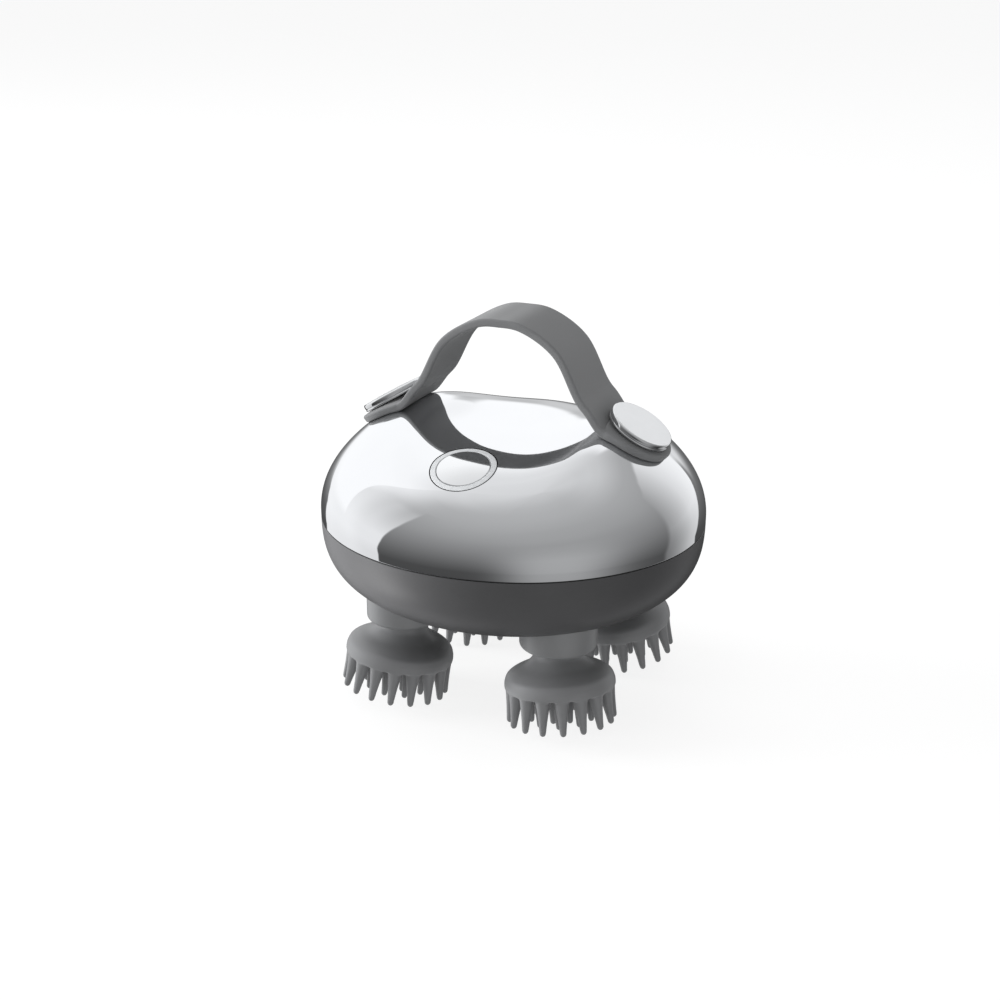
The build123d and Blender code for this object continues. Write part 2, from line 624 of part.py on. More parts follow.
for name, (x, y) in HEADS.items():
    d = math.hypot(x, y)
    dx, dy = x / d, y / d
    st, ct = math.sin(tilt), math.cos(tilt)
    frame = Plane(origin=(x, y, PIVOT_Z), x_dir=(ct * dx, ct * dy, st), z_dir=(-st * dx, -st * dy, ct))
    # the x direction points outwards, so the first and ninth bristles lie on the leaning line
    write(f"massage_head_{name}", gather(skin_proto.moved(frame.location)))
    write(f"head_core_{name}", gather(core_proto.moved(frame.location)))
    # a knuckle joins the vertical shaft to the leaning stub
    crank = cyl(SHAFT_R, KNUCKLE_Z0 + 0.6, 47.4, x, y) + cyl(KNUCKLE_R, KNUCKLE_Z0, KNUCKLE_Z1, x, y)
    stub = Solid.make_cylinder(SHAFT_R, 9.2, Plane(
        origin=(x - 0.8 * st * dx, y - 0.8 * st * dy, PIVOT_Z + 0.8 * ct),
        x_dir=(ct * dx, ct * dy, st), z_dir=(st * dx, st * dy, -ct)))
    crank = crank + stub
    write(f"crank_shaft_{name}", gather(crank))
    psi = math.degrees(math.atan2(y, x))
    u = (psi * TEETH_DRIVE / 360.0) % 1.0
    phase = psi + 180.0 - (0.5 - u) * 360.0 / TEETH_HEAD
    g = gear_blank(TEETH_HEAD, phase, GEAR_Z0, GEAR_Z1) + cyl(5.0, GEAR_Z0 - 0.9, GEAR_Z1 + 0.8)
    g = g - cyl(SHAFT_R + 0.01, 30, 50)
    write(f"output_gear_{name}", gather(g.moved(Location((x, y, 0)))))

    collar = cyl(COLLAR_R, COLLAR_Z0, COLLAR_Z1, x, y)
    low = min(collar.edges().filter_by(GeomType.CIRCLE), key=lambda e: e.center().Z)
    collar = fillet([low], 1.3)
    collar = (collar - cyl(8.7, 20, 29.2, x, y) - cyl(6.5, 20, 31.2, x, y)
              - cyl(5.5, 20, 35.2, x, y) - cyl(4.0, 20, 40, x, y))
    write(f"collar_{name}", gather(collar))
    bearings.append(tube(SHAFT_R + RUN, 5.48, 31.2, 35.2, x, y))
    seals.append(tube(SHAFT_R + 0.09, 6.46, 29.3, 31.1, x, y))
    bushes.append(tube(SHAFT_R + RUN, 4.0, PLATE_Z0 - 0.4, PLATE_Z1, x, y)
                  + tube(SHAFT_R + RUN, 5.2, PLATE_Z1, PLATE_Z1 + 0.8, x, y))
write("lower_bearings", gather(*bearings))
write("shaft_seals", gather(*seals))
write("upper_bushes", gather(*bushes))

for f in sorted(os.listdir("parts")):
    print(f)
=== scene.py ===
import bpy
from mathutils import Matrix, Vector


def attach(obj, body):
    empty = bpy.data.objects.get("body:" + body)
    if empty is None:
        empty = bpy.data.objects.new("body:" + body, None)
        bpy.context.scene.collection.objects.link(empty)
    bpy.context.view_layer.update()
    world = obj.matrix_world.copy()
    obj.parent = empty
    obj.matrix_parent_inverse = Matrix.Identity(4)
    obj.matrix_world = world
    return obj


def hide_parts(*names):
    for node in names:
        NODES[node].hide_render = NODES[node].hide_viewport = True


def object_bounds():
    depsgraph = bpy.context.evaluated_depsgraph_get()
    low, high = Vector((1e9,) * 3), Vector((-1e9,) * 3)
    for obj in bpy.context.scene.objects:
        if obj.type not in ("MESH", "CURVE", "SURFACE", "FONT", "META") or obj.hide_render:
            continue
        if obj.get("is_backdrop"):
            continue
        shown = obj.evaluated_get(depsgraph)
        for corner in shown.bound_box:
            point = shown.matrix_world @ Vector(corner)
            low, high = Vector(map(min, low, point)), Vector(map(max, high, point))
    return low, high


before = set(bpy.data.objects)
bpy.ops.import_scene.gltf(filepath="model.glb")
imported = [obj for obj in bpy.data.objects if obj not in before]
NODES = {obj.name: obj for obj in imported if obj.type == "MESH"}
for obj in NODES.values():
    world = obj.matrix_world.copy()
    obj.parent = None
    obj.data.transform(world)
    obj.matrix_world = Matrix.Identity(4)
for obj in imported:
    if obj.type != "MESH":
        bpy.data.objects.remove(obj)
cad_low, cad_high = (v.copy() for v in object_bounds())

import math

import bmesh
import bpy
import numpy as np
from mathutils import Matrix, Vector

MM = 0.001

# ------------------------------------------------------------------ shape constants, in mm, as in the frame
A, B = 59.0, 56.0
WAIST = 57.2
BELLY, BELLY_N = 29.94, 3.0
CROWN, SHOULDER_1, SHOULDER_2 = 41.8, -0.352, 0.187
SADDLE, SADDLE_W, SADDLE_P, SADDLE_FADE = 15.07, 27.3, 3.085, 1.675
SEAM_LO, SEAM_HI = 54.7, 54.95
FLAT_Z = 27.6
HEAD_X, HEAD_Y, TILT, PIVOT_Z = 25.2, 24.29, math.radians(9.0), 25.0
COLLAR_R = 11.5
BUTTON_Y, BUTTON_R, RING_RI, RING_RO = -35.8, 7.75, 7.9, 9.6
STRAP_HALF_W, STRAP_T, PAD_END = 11.85, 2.4, 11.2
HUG_IN, HUG_OUT, HUG_MOST, HUG_SOFT = 7.0, 15.0, 1.9, 0.12
PLATE_TILT = math.radians(30.8)
PAD_X, PAD_Z = 38.6, 84.67
CAP_R = 10.0
SCREW_X, SCREW_Y = 46.0, 9.0
HEADS = {"fl": (-HEAD_X, -HEAD_Y), "fr": (HEAD_X, -HEAD_Y), "bl": (-HEAD_X, HEAD_Y), "br": (HEAD_X, HEAD_Y)}

scene = bpy.context.scene

# ------------------------------------------------------------------ camera
cam_data = bpy.data.cameras.new("camera")
cam_data.lens = 59.4294
cam_data.sensor_width = 36.0
cam_data.shift_x = -0.012867
cam_data.shift_y = 0.005711
cam_data.dof.use_dof = False
cam_data.clip_start, cam_data.clip_end = 0.01, 60.0
camera = bpy.data.objects.new("camera", cam_data)
scene.collection.objects.link(camera)
el, az, roll = math.radians(20.179), math.radians(23.22), math.radians(0.38)
back = Vector((math.sin(az) * math.cos(el), -math.cos(az) * math.cos(el), math.sin(el)))
level = Vector((math.cos(az), math.sin(az), 0.0))
plumb = back.cross(level)
right = math.cos(roll) * level + math.sin(roll) * plumb
up = back.cross(right)
rot = Matrix((right, up, back)).transposed()
camera.matrix_world = Matrix.Translation(Vector((0, 0, 0.056778)) + back * 0.504775) @ rot.to_4x4()
scene.camera = camera

scene.view_settings.view_transform = "Standard"
scene.view_settings.look = "None"
scene.view_settings.exposure = 0.0
scene.view_settings.gamma = 1.0


# ------------------------------------------------------------------ node helpers
def new_material(name):
    m = bpy.data.materials.new(name)
    m.use_nodes = True
    nt = m.node_tree
    nt.nodes.clear()
    out = nt.nodes.new("ShaderNodeOutputMaterial")
    bsdf = nt.nodes.new("ShaderNodeBsdfPrincipled")
    nt.links.new(bsdf.outputs["BSDF"], out.inputs["Surface"])
    return m, nt, bsdf


def object_coords(nt, scale=1.0):
    tc = nt.nodes.new("ShaderNodeTexCoord")
    mp = nt.nodes.new("ShaderNodeMapping")
    mp.inputs["Scale"].default_value = (scale, scale, scale) if not isinstance(scale, tuple) else scale
    nt.links.new(tc.outputs["Object"], mp.inputs["Vector"])
    return mp.outputs["Vector"]


def noise(nt, vec, scale, detail=3.0, rough=0.5):
    n = nt.nodes.new("ShaderNodeTexNoise")
    n.inputs["Scale"].default_value = scale
    n.inputs["Detail"].default_value = detail
    n.inputs["Roughness"].default_value = rough
    nt.links.new(vec, n.inputs["Vector"])
    return n.outputs["Fac"]


def map_range(nt, fac, lo, hi, a=0.0, b=1.0):
    r = nt.nodes.new("ShaderNodeMapRange")
    r.inputs["From Min"].default_value = a
    r.inputs["From Max"].default_value = b
    r.inputs["To Min"].default_value = lo
    r.inputs["To Max"].default_value = hi
    nt.links.new(fac, r.inputs["Value"])
    return r.outputs["Result"]


def mix_color(nt, fac, c1, c2):
    m = nt.nodes.new("ShaderNodeMix")
    m.data_type = "RGBA"
    m.inputs[6].default_value = (*c1, 1)
    m.inputs[7].default_value = (*c2, 1)
    nt.links.new(fac, m.inputs[0])
    return m.outputs[2]


def bump(nt, bsdf, height, strength, distance):
    b = nt.nodes.new("ShaderNodeBump")
    b.inputs["Strength"].default_value = strength
    b.inputs["Distance"].default_value = distance
    nt.links.new(height, b.inputs["Height"])
    nt.links.new(b.outputs["Normal"], bsdf.inputs["Normal"])
    return b


def moulded(name, dark, light, rough=(0.4, 0.5), grain=0.00002, scale=900.0, mottling=60.0, metallic=0.0, spec=0.5,
            coat=0.0, sheen=0.0, ior=1.5):
    """Moulded plastic or rubber: slight mottling, roughness drift and a fine surface grain."""
    m, nt, b = new_material(name)
    vec = object_coords(nt)
    broad = noise(nt, vec, mottling, 4.0, 0.55)
    fine = noise(nt, vec, scale, 2.0, 0.6)
    nt.links.new(mix_color(nt, map_range(nt, broad, 0.0, 1.0, 0.3, 0.7), dark, light), b.inputs["Base Color"])
    nt.links.new(map_range(nt, broad, rough[0], rough[1], 0.3, 0.7), b.inputs["Roughness"])
    bump(nt, b, fine, 0.35, grain)
    b.inputs["Metallic"].default_value = metallic
    b.inputs["Specular IOR Level"].default_value = spec
    b.inputs["IOR"].default_value = ior
    if coat:
        b.inputs["Coat Weight"].default_value = coat
        b.inputs["Coat Roughness"].default_value = 0.15
    if sheen:
        b.inputs["Sheen Weight"].default_value = sheen
        b.inputs["Sheen Roughness"].default_value = 0.5
    return m


def machined(name, color, rough=(0.22, 0.36), lines=2600.0, axis=2):
    """Turned or ground metal: fine lines across one axis and a little tarnish."""
    m, nt, b = new_material(name)
    s = [60.0, 60.0, 60.0]
    s[axis] = lines
    vec = object_coords(nt, tuple(s))
    lines_f = noise(nt, vec, 1.0, 2.0, 0.5)
    cloud = noise(nt, object_coords(nt), 90.0, 3.0, 0.5)
    nt.links.new(mix_color(nt, map_range(nt, cloud, 0, 1, 0.3, 0.7), tuple(c * 0.86 for c in color), color), b.inputs["Base Color"])
    nt.links.new(map_range(nt, lines_f, rough[0], rough[1], 0.3, 0.7), b.inputs["Roughness"])
    bump(nt, b, lines_f, 0.25, 0.00001)
    b.inputs["Metallic"].default_value = 1.0
    return m


# ------------------------------------------------------------------ the visible finishes
def chrome_material(name, tint=(0.925, 0.93, 0.94), rough=(0.018, 0.045)):
    m, nt, b = new_material(name)
    vec = object_coords(nt)
    cloud = noise(nt, vec, 38.0, 3.0, 0.5)
    ripple = noise(nt, vec, 55.0, 1.0, 0.4)
    nt.links.new(map_range(nt, cloud, rough[0], rough[1], 0.35, 0.65), b.inputs["Roughness"])
    nt.links.new(mix_color(nt, map_range(nt, cloud, 0, 1, 0.35, 0.65), tuple(c * 0.985 for c in tint), tint), b.inputs["Base Color"])
    bump(nt, b, ripple, 0.06, 0.00002)
    b.inputs["Metallic"].default_value = 1.0
    return m


CHROME = chrome_material("mirror_chrome")
BUTTON_CHROME = chrome_material("button_chrome", (0.93, 0.935, 0.94), (0.03, 0.05))
HOUSING = moulded("charcoal_plastic", (0.052, 0.052, 0.054), (0.059, 0.059, 0.061), (0.38, 0.44), 0.000012, 1500.0, 45.0)
STRAP = moulded("strap_silicone", (0.150, 0.153, 0.157), (0.165, 0.168, 0.172), (0.52, 0.62), 0.00002, 1300.0, 70.0, sheen=0.15)
SILICONE = moulded("head_silicone", (0.149, 0.151, 0.156), (0.167, 0.170, 0.175), (0.42, 0.50), 0.00002, 1300.0, 90.0, spec=0.8, sheen=0.1, ior=1.7)
COLLAR = moulded("collar_grey", (0.158, 0.161, 0.165), (0.173, 0.176, 0.181), (0.36, 0.44), 0.000012, 1300.0, 70.0,
                 spec=0.8, ior=1.7)
RUBBER = moulded("black_rubber", (0.012, 0.012, 0.013), (0.02, 0.02, 0.021), (0.5, 0.7), 0.00002, 1200.0, 120.0)
PLUG = moulded("plug_rubber", (0.04, 0.04, 0.041), (0.05, 0.05, 0.052), (0.5, 0.62), 0.00002, 1200.0, 120.0)
BLACK = moulded("black_plastic", (0.015, 0.015, 0.016), (0.028, 0.028, 0.03), (0.38, 0.55), 0.00002, 900.0, 80.0)
WHITE = moulded("acetal", (0.72, 0.71, 0.68), (0.80, 0.79, 0.76), (0.32, 0.45), 0.00001, 900.0, 80.0)
GREEN = moulded("solder_mask", (0.008, 0.09, 0.035), (0.012, 0.13, 0.05), (0.25, 0.4), 0.00002, 700.0, 160.0)
WRAP = moulded("cell_wrap", (0.03, 0.10, 0.22), (0.04, 0.13, 0.28), (0.22, 0.32), 0.000015, 400.0, 60.0)
STEEL = machined("machined_steel", (0.62, 0.62, 0.63))
ZINC = machined("zinc_screws", (0.50, 0.50, 0.51), (0.3, 0.42))
MOTOR = machined("motor_can_steel", (0.58, 0.58, 0.59), (0.28, 0.4), 1500.0)
BRONZE = machined("sintered_bronze", (0.55, 0.37, 0.18), (0.35, 0.5))
GOLD = machined("contact_gold", (0.90, 0.68, 0.30), (0.15, 0.28), 1800.0, 1)

# frosted ring
RING, nt, b = new_material("frosted_ring")
vec = object_coords(nt)
f = noise(nt, vec, 420.0, 3.0, 0.6)
nt.links.new(mix_color(nt, map_range(nt, f, 0, 1, 0.3, 0.7), (0.60, 0.615, 0.63), (0.68, 0.695, 0.71)), b.inputs["Base Color"])
nt.links.new(map_range(nt, f, 0.32, 0.46, 0.3, 0.7), b.inputs["Roughness"])
bump(nt, b, f, 0.3, 0.00002)
b.inputs["Subsurface Weight"].default_value = 0.25
b.inputs["Subsurface Radius"].default_value = (0.001, 0.001, 0.001)
b.inputs["Coat Weight"].default_value = 0.3
b.inputs["Coat Roughness"].default_value = 0.2

# spun cap top: rings about the cap's own axis, drawn in the cap's own coordinates
CAP_TOP, nt, b = new_material("spun_satin")
tc = nt.nodes.new("ShaderNodeTexCoord")
wave = nt.nodes.new("ShaderNodeTexWave")
wave.wave_type = "RINGS"
wave.rings_direction = "Z"
wave.inputs["Scale"].default_value = 1500.0
wave.inputs["Distortion"].default_value = 0.8
wave.inputs["Detail"].default_value = 2.0
wave.inputs["Detail Scale"].default_value = 1.5
nt.links.new(tc.outputs["Object"], wave.inputs["Vector"])
cloud = noise(nt, tc.outputs["Object"], 160.0, 3.0, 0.5)
nt.links.new(map_range(nt, wave.outputs["Fac"], 0.30, 0.38), b.inputs["Roughness"])
nt.links.new(mix_color(nt, cloud, (0.84, 0.845, 0.85), (0.90, 0.905, 0.91)), b.inputs["Base Color"])
bump(nt, b, wave.outputs["Fac"], 0.12, 0.000006)
b.inputs["Metallic"].default_value = 1.0
CAP_SIDE = chrome_material("cap_polished", (0.86, 0.865, 0.87), (0.05, 0.09))


# ------------------------------------------------------------------ the body's skin
def dip(x, y):
    return SADDLE * np.exp(-((np.abs(x) / SADDLE_W) ** SADDLE_P) - SADDLE_FADE * (y / B) ** 2)


def shoulder(t):
    return 1 + SHOULDER_1 * t + SHOULDER_2 * t * t


def top_z(x, y):
    t = np.minimum(1.0, (x / A) ** 2 + (y / B) ** 2)
    return WAIST + (CROWN - dip(x, y)) * np.sqrt(np.maximum(1e-12, 1 - t)) * shoulder(t)


def low_z(x, y):
    s = np.sqrt((x / A) ** 2 + (y / B) ** 2)
    h = np.maximum(0.0, 1 - s ** BELLY_N) ** (1 / BELLY_N)
    return np.maximum(FLAT_Z, WAIST - BELLY * h)


def skin_normal(p):
    x, y, z = p[:, 0], p[:, 1], p[:, 2]
    d = dip(x, y)
    c = CROWN - d
    c_x = d * SADDLE_P * np.abs(x) ** (SADDLE_P - 1) * np.sign(x) / SADDLE_W ** SADDLE_P
    c_y = d * 2 * SADDLE_FADE * y / B ** 2
    t, t_x, t_y = np.minimum(1.0, (x / A) ** 2 + (y / B) ** 2), 2 * x / A ** 2, 2 * y / B ** 2
    f = shoulder(t)
    f_t = (SHOULDER_1 + 2 * SHOULDER_2 * t) / f
    q = np.maximum(z - WAIST, 0.0) / (c * f)
    upper = np.stack([t_x - 2 * q ** 2 * (c_x / c + f_t * t_x), t_y - 2 * q ** 2 * (c_y / c + f_t * t_y), 2 * q / (c * f)], 1)
    s = np.sqrt((x / A) ** 2 + (y / B) ** 2)
    h = np.clip((WAIST - z) / BELLY, 0.0, None)
    lower = np.stack([3 * s * x / A ** 2, 3 * s * y / B ** 2, -3 * h ** 2 / BELLY], 1)
    n = np.where((z >= WAIST)[:, None], upper, lower)
    flat = (z <= FLAT_Z + 1e-6)
    n[flat] = (0, 0, -1)
    return n / np.linalg.norm(n, axis=1, keepdims=True)


def unit(v):
    return v / np.linalg.norm(v, axis=-1, keepdims=True)


# ------------------------------------------------------------------ mesh helpers (all take mm)
def make_mesh(name, verts, faces, normals=None, materials=(), index=None, body="housing", matrix=None):
    me = bpy.data.meshes.new(name)
    me.from_pydata([tuple(v) for v in np.asarray(verts) * MM], [], [tuple(int(i) for i in f) for f in faces])
    me.validate()
    me.polygons.foreach_set("use_smooth", [True] * len(me.polygons))
    for m in materials:
        me.materials.append(m)
    if index is not None and len(index) == len(me.polygons):
        me.polygons.foreach_set("material_index", [int(i) for i in index])
    me.update()
    if normals is not None and len(normals) == len(me.vertices):
        me.normals_split_custom_set_from_vertices([tuple(n) for n in unit(np.asarray(normals, float))])
    ob = bpy.data.objects.new(name, me)
    scene.collection.objects.link(ob)
    if matrix is not None:
        ob.matrix_world = matrix
    if body:
        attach(ob, body)
    return ob


def disc_grid(n):
    """Square grid folded onto the unit disc: rho, theta, and quads wound anticlockwise seen from above."""
    t = np.linspace(-1, 1, n + 1)
    u, v = np.meshgrid(t, t, indexing="ij")
    px = u * np.sqrt(1 - v * v / 2)
    py = v * np.sqrt(1 - u * u / 2)
    rho = np.minimum(1.0, np.hypot(px, py)).ravel()
    th = np.arctan2(py, px).ravel()
    ids = np.arange((n + 1) ** 2).reshape(n + 1, n + 1)
    quads = np.stack([ids[:-1, :-1], ids[1:, :-1], ids[1:, 1:], ids[:-1, 1:]], -1).reshape(-1, 4)
    rim = np.concatenate([ids[:, 0], ids[-1, 1:], ids[::-1, -1][1:], ids[0, ::-1][1:-1]])
    return rho, th, quads, rim


class Hole:
    """A round hole in the skin about an axis. place(u, v) gives skin points for offsets from the axis."""

    def __init__(self, origin, ex, ey, n, r, place):
        self.o, self.ex, self.ey, self.n, self.r, self.place = (np.array(origin, float), np.array(ex, float),
                                                              np.array(ey, float), np.array(n, float), r, place)

    def local(self, p):
        d = p - self.o
        return d @ self.ex, d @ self.ey, d @ self.n


def shell(name, verts, quads, rim, holes, wall, rim_loops, materials, gap_material=None, depth=1.6, bevel=0.12):
    """Closed shell: outer skin, holes with rounded rims, inner skin and the rim. verts lie on the skin."""
    V = verts.copy()
    keep = np.ones(len(quads), bool)
    moved = []
    for h in holes:
        u, v, w = h.local(V)
        facing = (skin_normal(V) @ h.n) > 0.0
        inside = (np.hypot(u, v) < h.r + bevel) & facing & (np.abs(w) < 12)
        hit = inside[quads].any(1) & keep
        keep &= ~hit
        border = np.unique(quads[hit])
        still = np.unique(quads[keep])
        border = np.intersect1d(border, still)
        ub, vb = u[border], v[border]
        ang = np.arctan2(vb, ub)
        V[border] = h.place((h.r + bevel) * np.cos(ang), (h.r + bevel) * np.sin(ang))
        moved.append((h, border[np.argsort(ang)], np.sort(ang)))
    quads = quads[keep]
    N = skin_normal(V)
    verts_out, normals_out, faces, index = [V], [N], [quads], [np.zeros(len(quads), int)]
    count = len(V)
    inner = V - N * wall
    verts_out.append(inner)
    normals_out.append(-N)
    faces.append(quads[:, ::-1] + count)
    index.append(np.zeros(len(quads), int))
    total = 2 * count

    def bridge(a, b2, m=0):
        a, b2 = np.asarray(a), np.asarray(b2)
        faces.append(np.stack([a, np.roll(a, -1), np.roll(b2, -1), b2], 1))
        index.append(np.full(len(a), m))

    for h, loop, ang in moved:
        # loop runs anticlockwise about h.n seen from outside; the wall goes inwards
        radial = np.outer(np.cos(ang), h.ex) + np.outer(np.sin(ang), h.ey)
        prev = loop
        for k, (dr, dz, tilt) in enumerate(((0.30, 0.0, 0.5), (0.0, 0.30, 1.1), (0.0, 1.0, 1.57))):
            rr = h.r + bevel * dr if k == 0 else h.r
            dd = bevel * (0.25 if k == 0 else 1.0 if k == 1 else 2.0)
            skin = h.place(rr * np.cos(ang), rr * np.sin(ang))
            verts_out.append(skin - h.n * dd)
            normals_out.append(np.cos(tilt) * h.n - np.sin(tilt) * radial)
            ids = np.arange(total, total + len(ang))
            total += len(ang)
            bridge(ids, prev)
            prev = ids
        skin = h.place(h.r * np.cos(ang), h.r * np.sin(ang))
        verts_out.append(skin - h.n * depth)
        normals_out.append(-radial)
        ids = np.arange(total, total + len(ang))
        total += len(ang)
        bridge(ids, prev)
        bridge(loop + count, ids)
    prev = rim
    for off, z, nz in rim_loops:
        # off is the inward distance from the skin at the rim, z the height, nz the normal's tilt
        base = V[rim]
        out = unit(np.stack([N[rim][:, 0], N[rim][:, 1], np.zeros(len(rim))], 1))
        p = base - out * off
        p[:, 2] = z
        verts_out.append(p)
        nn = out * math.cos(nz) + np.array([0, 0, math.sin(nz)])
        normals_out.append(nn)
        ids = np.arange(total, total + len(rim))
        total += len(rim)
        bridge(ids, prev) if RIM_DOWN else bridge(prev, ids)
        prev = ids
    if RIM_DOWN:
        bridge(rim + count, prev)
    else:
        bridge(prev, rim + count)
    return (np.concatenate(verts_out), np.concatenate([f for f in faces]), np.concatenate(normals_out),
            np.concatenate(index))


def clean_faces(verts, faces):
    """Drops faces that have lost their area, and loose vertices are left for validate()."""
    p = verts[faces]
    a = np.linalg.norm(np.cross(p[:, 2] - p[:, 0], p[:, 3] - p[:, 1]), axis=1)
    return a > 1e-9


# frame of the button
n_b = skin_normal(np.array([[0.0, BUTTON_Y, float(top_z(0.0, BUTTON_Y))]]))[0]
o_b = np.array([0.0, BUTTON_Y, float(top_z(0.0, BUTTON_Y))])
ex_b = np.array([1.0, 0.0, 0.0])
ey_b = np.cross(n_b, ex_b)


def on_button_axis(u, v):
    """Point of the skin straight below or above offsets u, v in the button's plane."""
    u, v = np.asarray(u, float), np.asarray(v, float)
    t = np.zeros_like(u)
    for _ in range(12):
        p = o_b + u[:, None] * ex_b + v[:, None] * ey_b + t[:, None] * n_b
        g = p[:, 2] - top_z(p[:, 0], p[:, 1])
        e = 1e-4
        q = p + e * n_b
        dg = ((q[:, 2] - top_z(q[:, 0], q[:, 1])) - g) / e
        t -= g / dg
    return o_b + u[:, None] * ex_b + v[:, None] * ey_b + t[:, None] * n_b


# ------------------------------------------------------------------ upper cover
rho, th, quads, rim = disc_grid(216)
rw = 0.972
phi = np.minimum(rho / rw, 1.0) * math.pi / 2
s = np.sin(phi)
x, y = A * s * np.cos(th), B * s * np.sin(th)
z = WAIST + (CROWN - dip(x, y)) * np.cos(phi) * shoulder(s ** 2)
below = rho > rw
zb = WAIST - (WAIST - (SEAM_HI + 0.22)) * (rho - rw) / (1 - rw)
hb = np.clip((WAIST - zb) / BELLY, 0, 1)
sb = (1 - hb ** BELLY_N) ** (1 / BELLY_N)
x = np.where(below, A * sb * np.cos(th), x)
y = np.where(below, B * sb * np.sin(th), y)
z = np.where(below, zb, z)
skin_pts = np.stack([x, y, z], 1)
RIM_DOWN = True
holes = [Hole(o_b, ex_b, ey_b, n_b, RING_RO + 0.16, on_button_axis)]
v, f, nrm, idx = shell("cover", skin_pts, quads, rim, holes, 1.9,
                       ((0.02, SEAM_HI + 0.10, -0.4), (0.09, SEAM_HI + 0.02, -1.1), (0.22, SEAM_HI, -1.57),
                        (1.7, SEAM_HI, -1.57)), [CHROME], bevel=0.10)
ok = clean_faces(v, f)
cover = make_mesh("cover_shell", v, f[ok], nrm, [CHROME])
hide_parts("upper_cover")

# ------------------------------------------------------------------ button face and light ring, flush with the skin


def surface_disc(name, place, n, ex, ey, r0, r1, depth, materials, body, edge=0.12, sink=0.0, rings=18, seg=128, crowned=0.0,
                 dark_side=False, flat_base=False):
    """Disc or ring whose top follows the skin, with rounded edges and a plain underside."""
    mid = place(np.array([0.0]), np.array([0.0]))
    ang = np.linspace(0, 2 * math.pi, seg, endpoint=False)
    radii, depths, tilts = [], [], []
    if r0 > 0:
        radii += [r0, r0, r0 + 0.3 * edge, r0 + edge]
        depths += [depth, edge, 0.3 * edge, 0.0]
        tilts += [-1.57, -1.3, -0.7, 0.0]
    for k in range(1, rings):
        radii.append(r0 + (edge if r0 > 0 else 0) + (r1 - edge - r0 - (edge if r0 > 0 else 0)) * k / rings)
        depths.append(0.0)
        tilts.append(0.0)
    radii += [r1 - edge, r1 - 0.3 * edge, r1, r1]
    depths += [0.0, 0.3 * edge, edge, depth]
    tilts += [0.0, 0.7, 1.3, 1.57]
    V, N = [], []
    for k, (r, d, t) in enumerate(zip(radii, depths, tilts)):
        p = place(r * np.cos(ang), r * np.sin(ang))
        base = skin_normal(p)
        if flat_base and k == len(radii) - 1:
            p = p - np.outer((p - mid) @ n, n)
        rad = np.outer(np.cos(ang), ex) + np.outer(np.sin(ang), ey)
        lift = crowned * (1 - (r / r1) ** 2)
        V.append(p - n * (d + sink - lift))
        N.append(base * math.cos(t) + rad * math.sin(t))
    rows = len(radii)
    V, N = np.concatenate(V), np.concatenate(N)
    ids = np.arange(rows * seg).reshape(rows, seg)
    faces = []
    for k in range(rows - 1):
        a, b2 = ids[k], ids[k + 1]
        faces.append(np.stack([a, b2, np.roll(b2, -1), np.roll(a, -1)], 1))
    faces = [tuple(q) for q in np.concatenate(faces)]
    if r0 > 0:
        a, b2 = ids[-1], ids[0]
        faces += [tuple(q) for q in np.stack([a, b2, np.roll(b2, -1), np.roll(a, -1)], 1)]
    else:
        c = place(np.array([0.0]), np.array([0.0]))
        V = np.concatenate([V, c - n * (sink - crowned), c - n * (depth + sink)])
        N = np.concatenate([N, skin_normal(c), -n[None, :]])
        top_c, low_c = len(V) - 2, len(V) - 1
        for j in range(seg):
            faces.append((top_c, ids[0][j], ids[0][(j + 1) % seg]))
            faces.append((low_c, ids[-1][(j + 1) % seg], ids[-1][j]))
    index = None
    if dark_side:
        index = [1 if (rows - 3) * seg <= k < (rows - 1) * seg else 0 for k in range(len(faces))]
    return make_mesh(name, V, faces, N, materials, index, body=body)


ring = surface_disc("ring_light", on_button_axis, n_b, ex_b, ey_b, RING_RI, RING_RO, 3.0, [RING, RUBBER], "housing",
                    edge=0.22, rings=10, dark_side=True)
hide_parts("light_ring")
face = surface_disc("button_face", on_button_axis, n_b, ex_b, ey_b, 0.0, BUTTON_R, 2.3, [BUTTON_CHROME], "button", edge=0.16, rings=20,
                    flat_base=True)
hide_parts("power_button")


# ------------------------------------------------------------------ lower housing
def under(u, v, cx, cy):
    x, y = cx + u, cy + v
    return np.stack([x, y, low_z(x, y)], 1)


def behind(u, v, cx, cz):
    """Back wall: u along -X, v along Z, seen from behind."""
    x, z = cx - u, cz + v
    h = np.clip((WAIST - z) / BELLY, 0, 1)
    s = (1 - h ** BELLY_N) ** (1 / BELLY_N)
    return np.stack([x, B * np.sqrt(np.maximum(0, s ** 2 - (x / A) ** 2)), z], 1)


# profile by arc length from the middle of the flat to the seam
flat_r = A * (1 - ((WAIST - FLAT_Z) / BELLY) ** BELLY_N) ** (1 / BELLY_N)
rr, zz = [0.0], [FLAT_Z]
t0 = math.atan2(((WAIST - FLAT_Z) / BELLY) ** 1.5, (flat_r / A) ** 1.5)
z_top = SEAM_LO - 0.22
h1 = (WAIST - z_top) / BELLY
t1 = math.atan2(h1 ** 1.5, ((1 - h1 ** BELLY_N) ** (1 / BELLY_N)) ** 1.5)
for i in range(401):
    t = t0 + (t1 - t0) * i / 400
    rr.append(A * math.cos(t) ** (2 / 3))
    zz.append(WAIST - BELLY * math.sin(t) ** (2 / 3))
rr, zz = np.array(rr), np.array(zz)
arc = np.concatenate([[0], np.cumsum(np.hypot(np.diff(rr), np.diff(zz)))])
rho, th, quads, rim = disc_grid(232)
r_here = np.interp(rho * arc[-1], arc, rr)
z_here = np.interp(rho * arc[-1], arc, zz)
hh = np.clip((WAIST - z_here) / BELLY, 0, 1)
on_curve = z_here > FLAT_Z + 1e-6
r_here = np.where(on_curve, A * (1 - hh ** BELLY_N) ** (1 / BELLY_N), r_here)
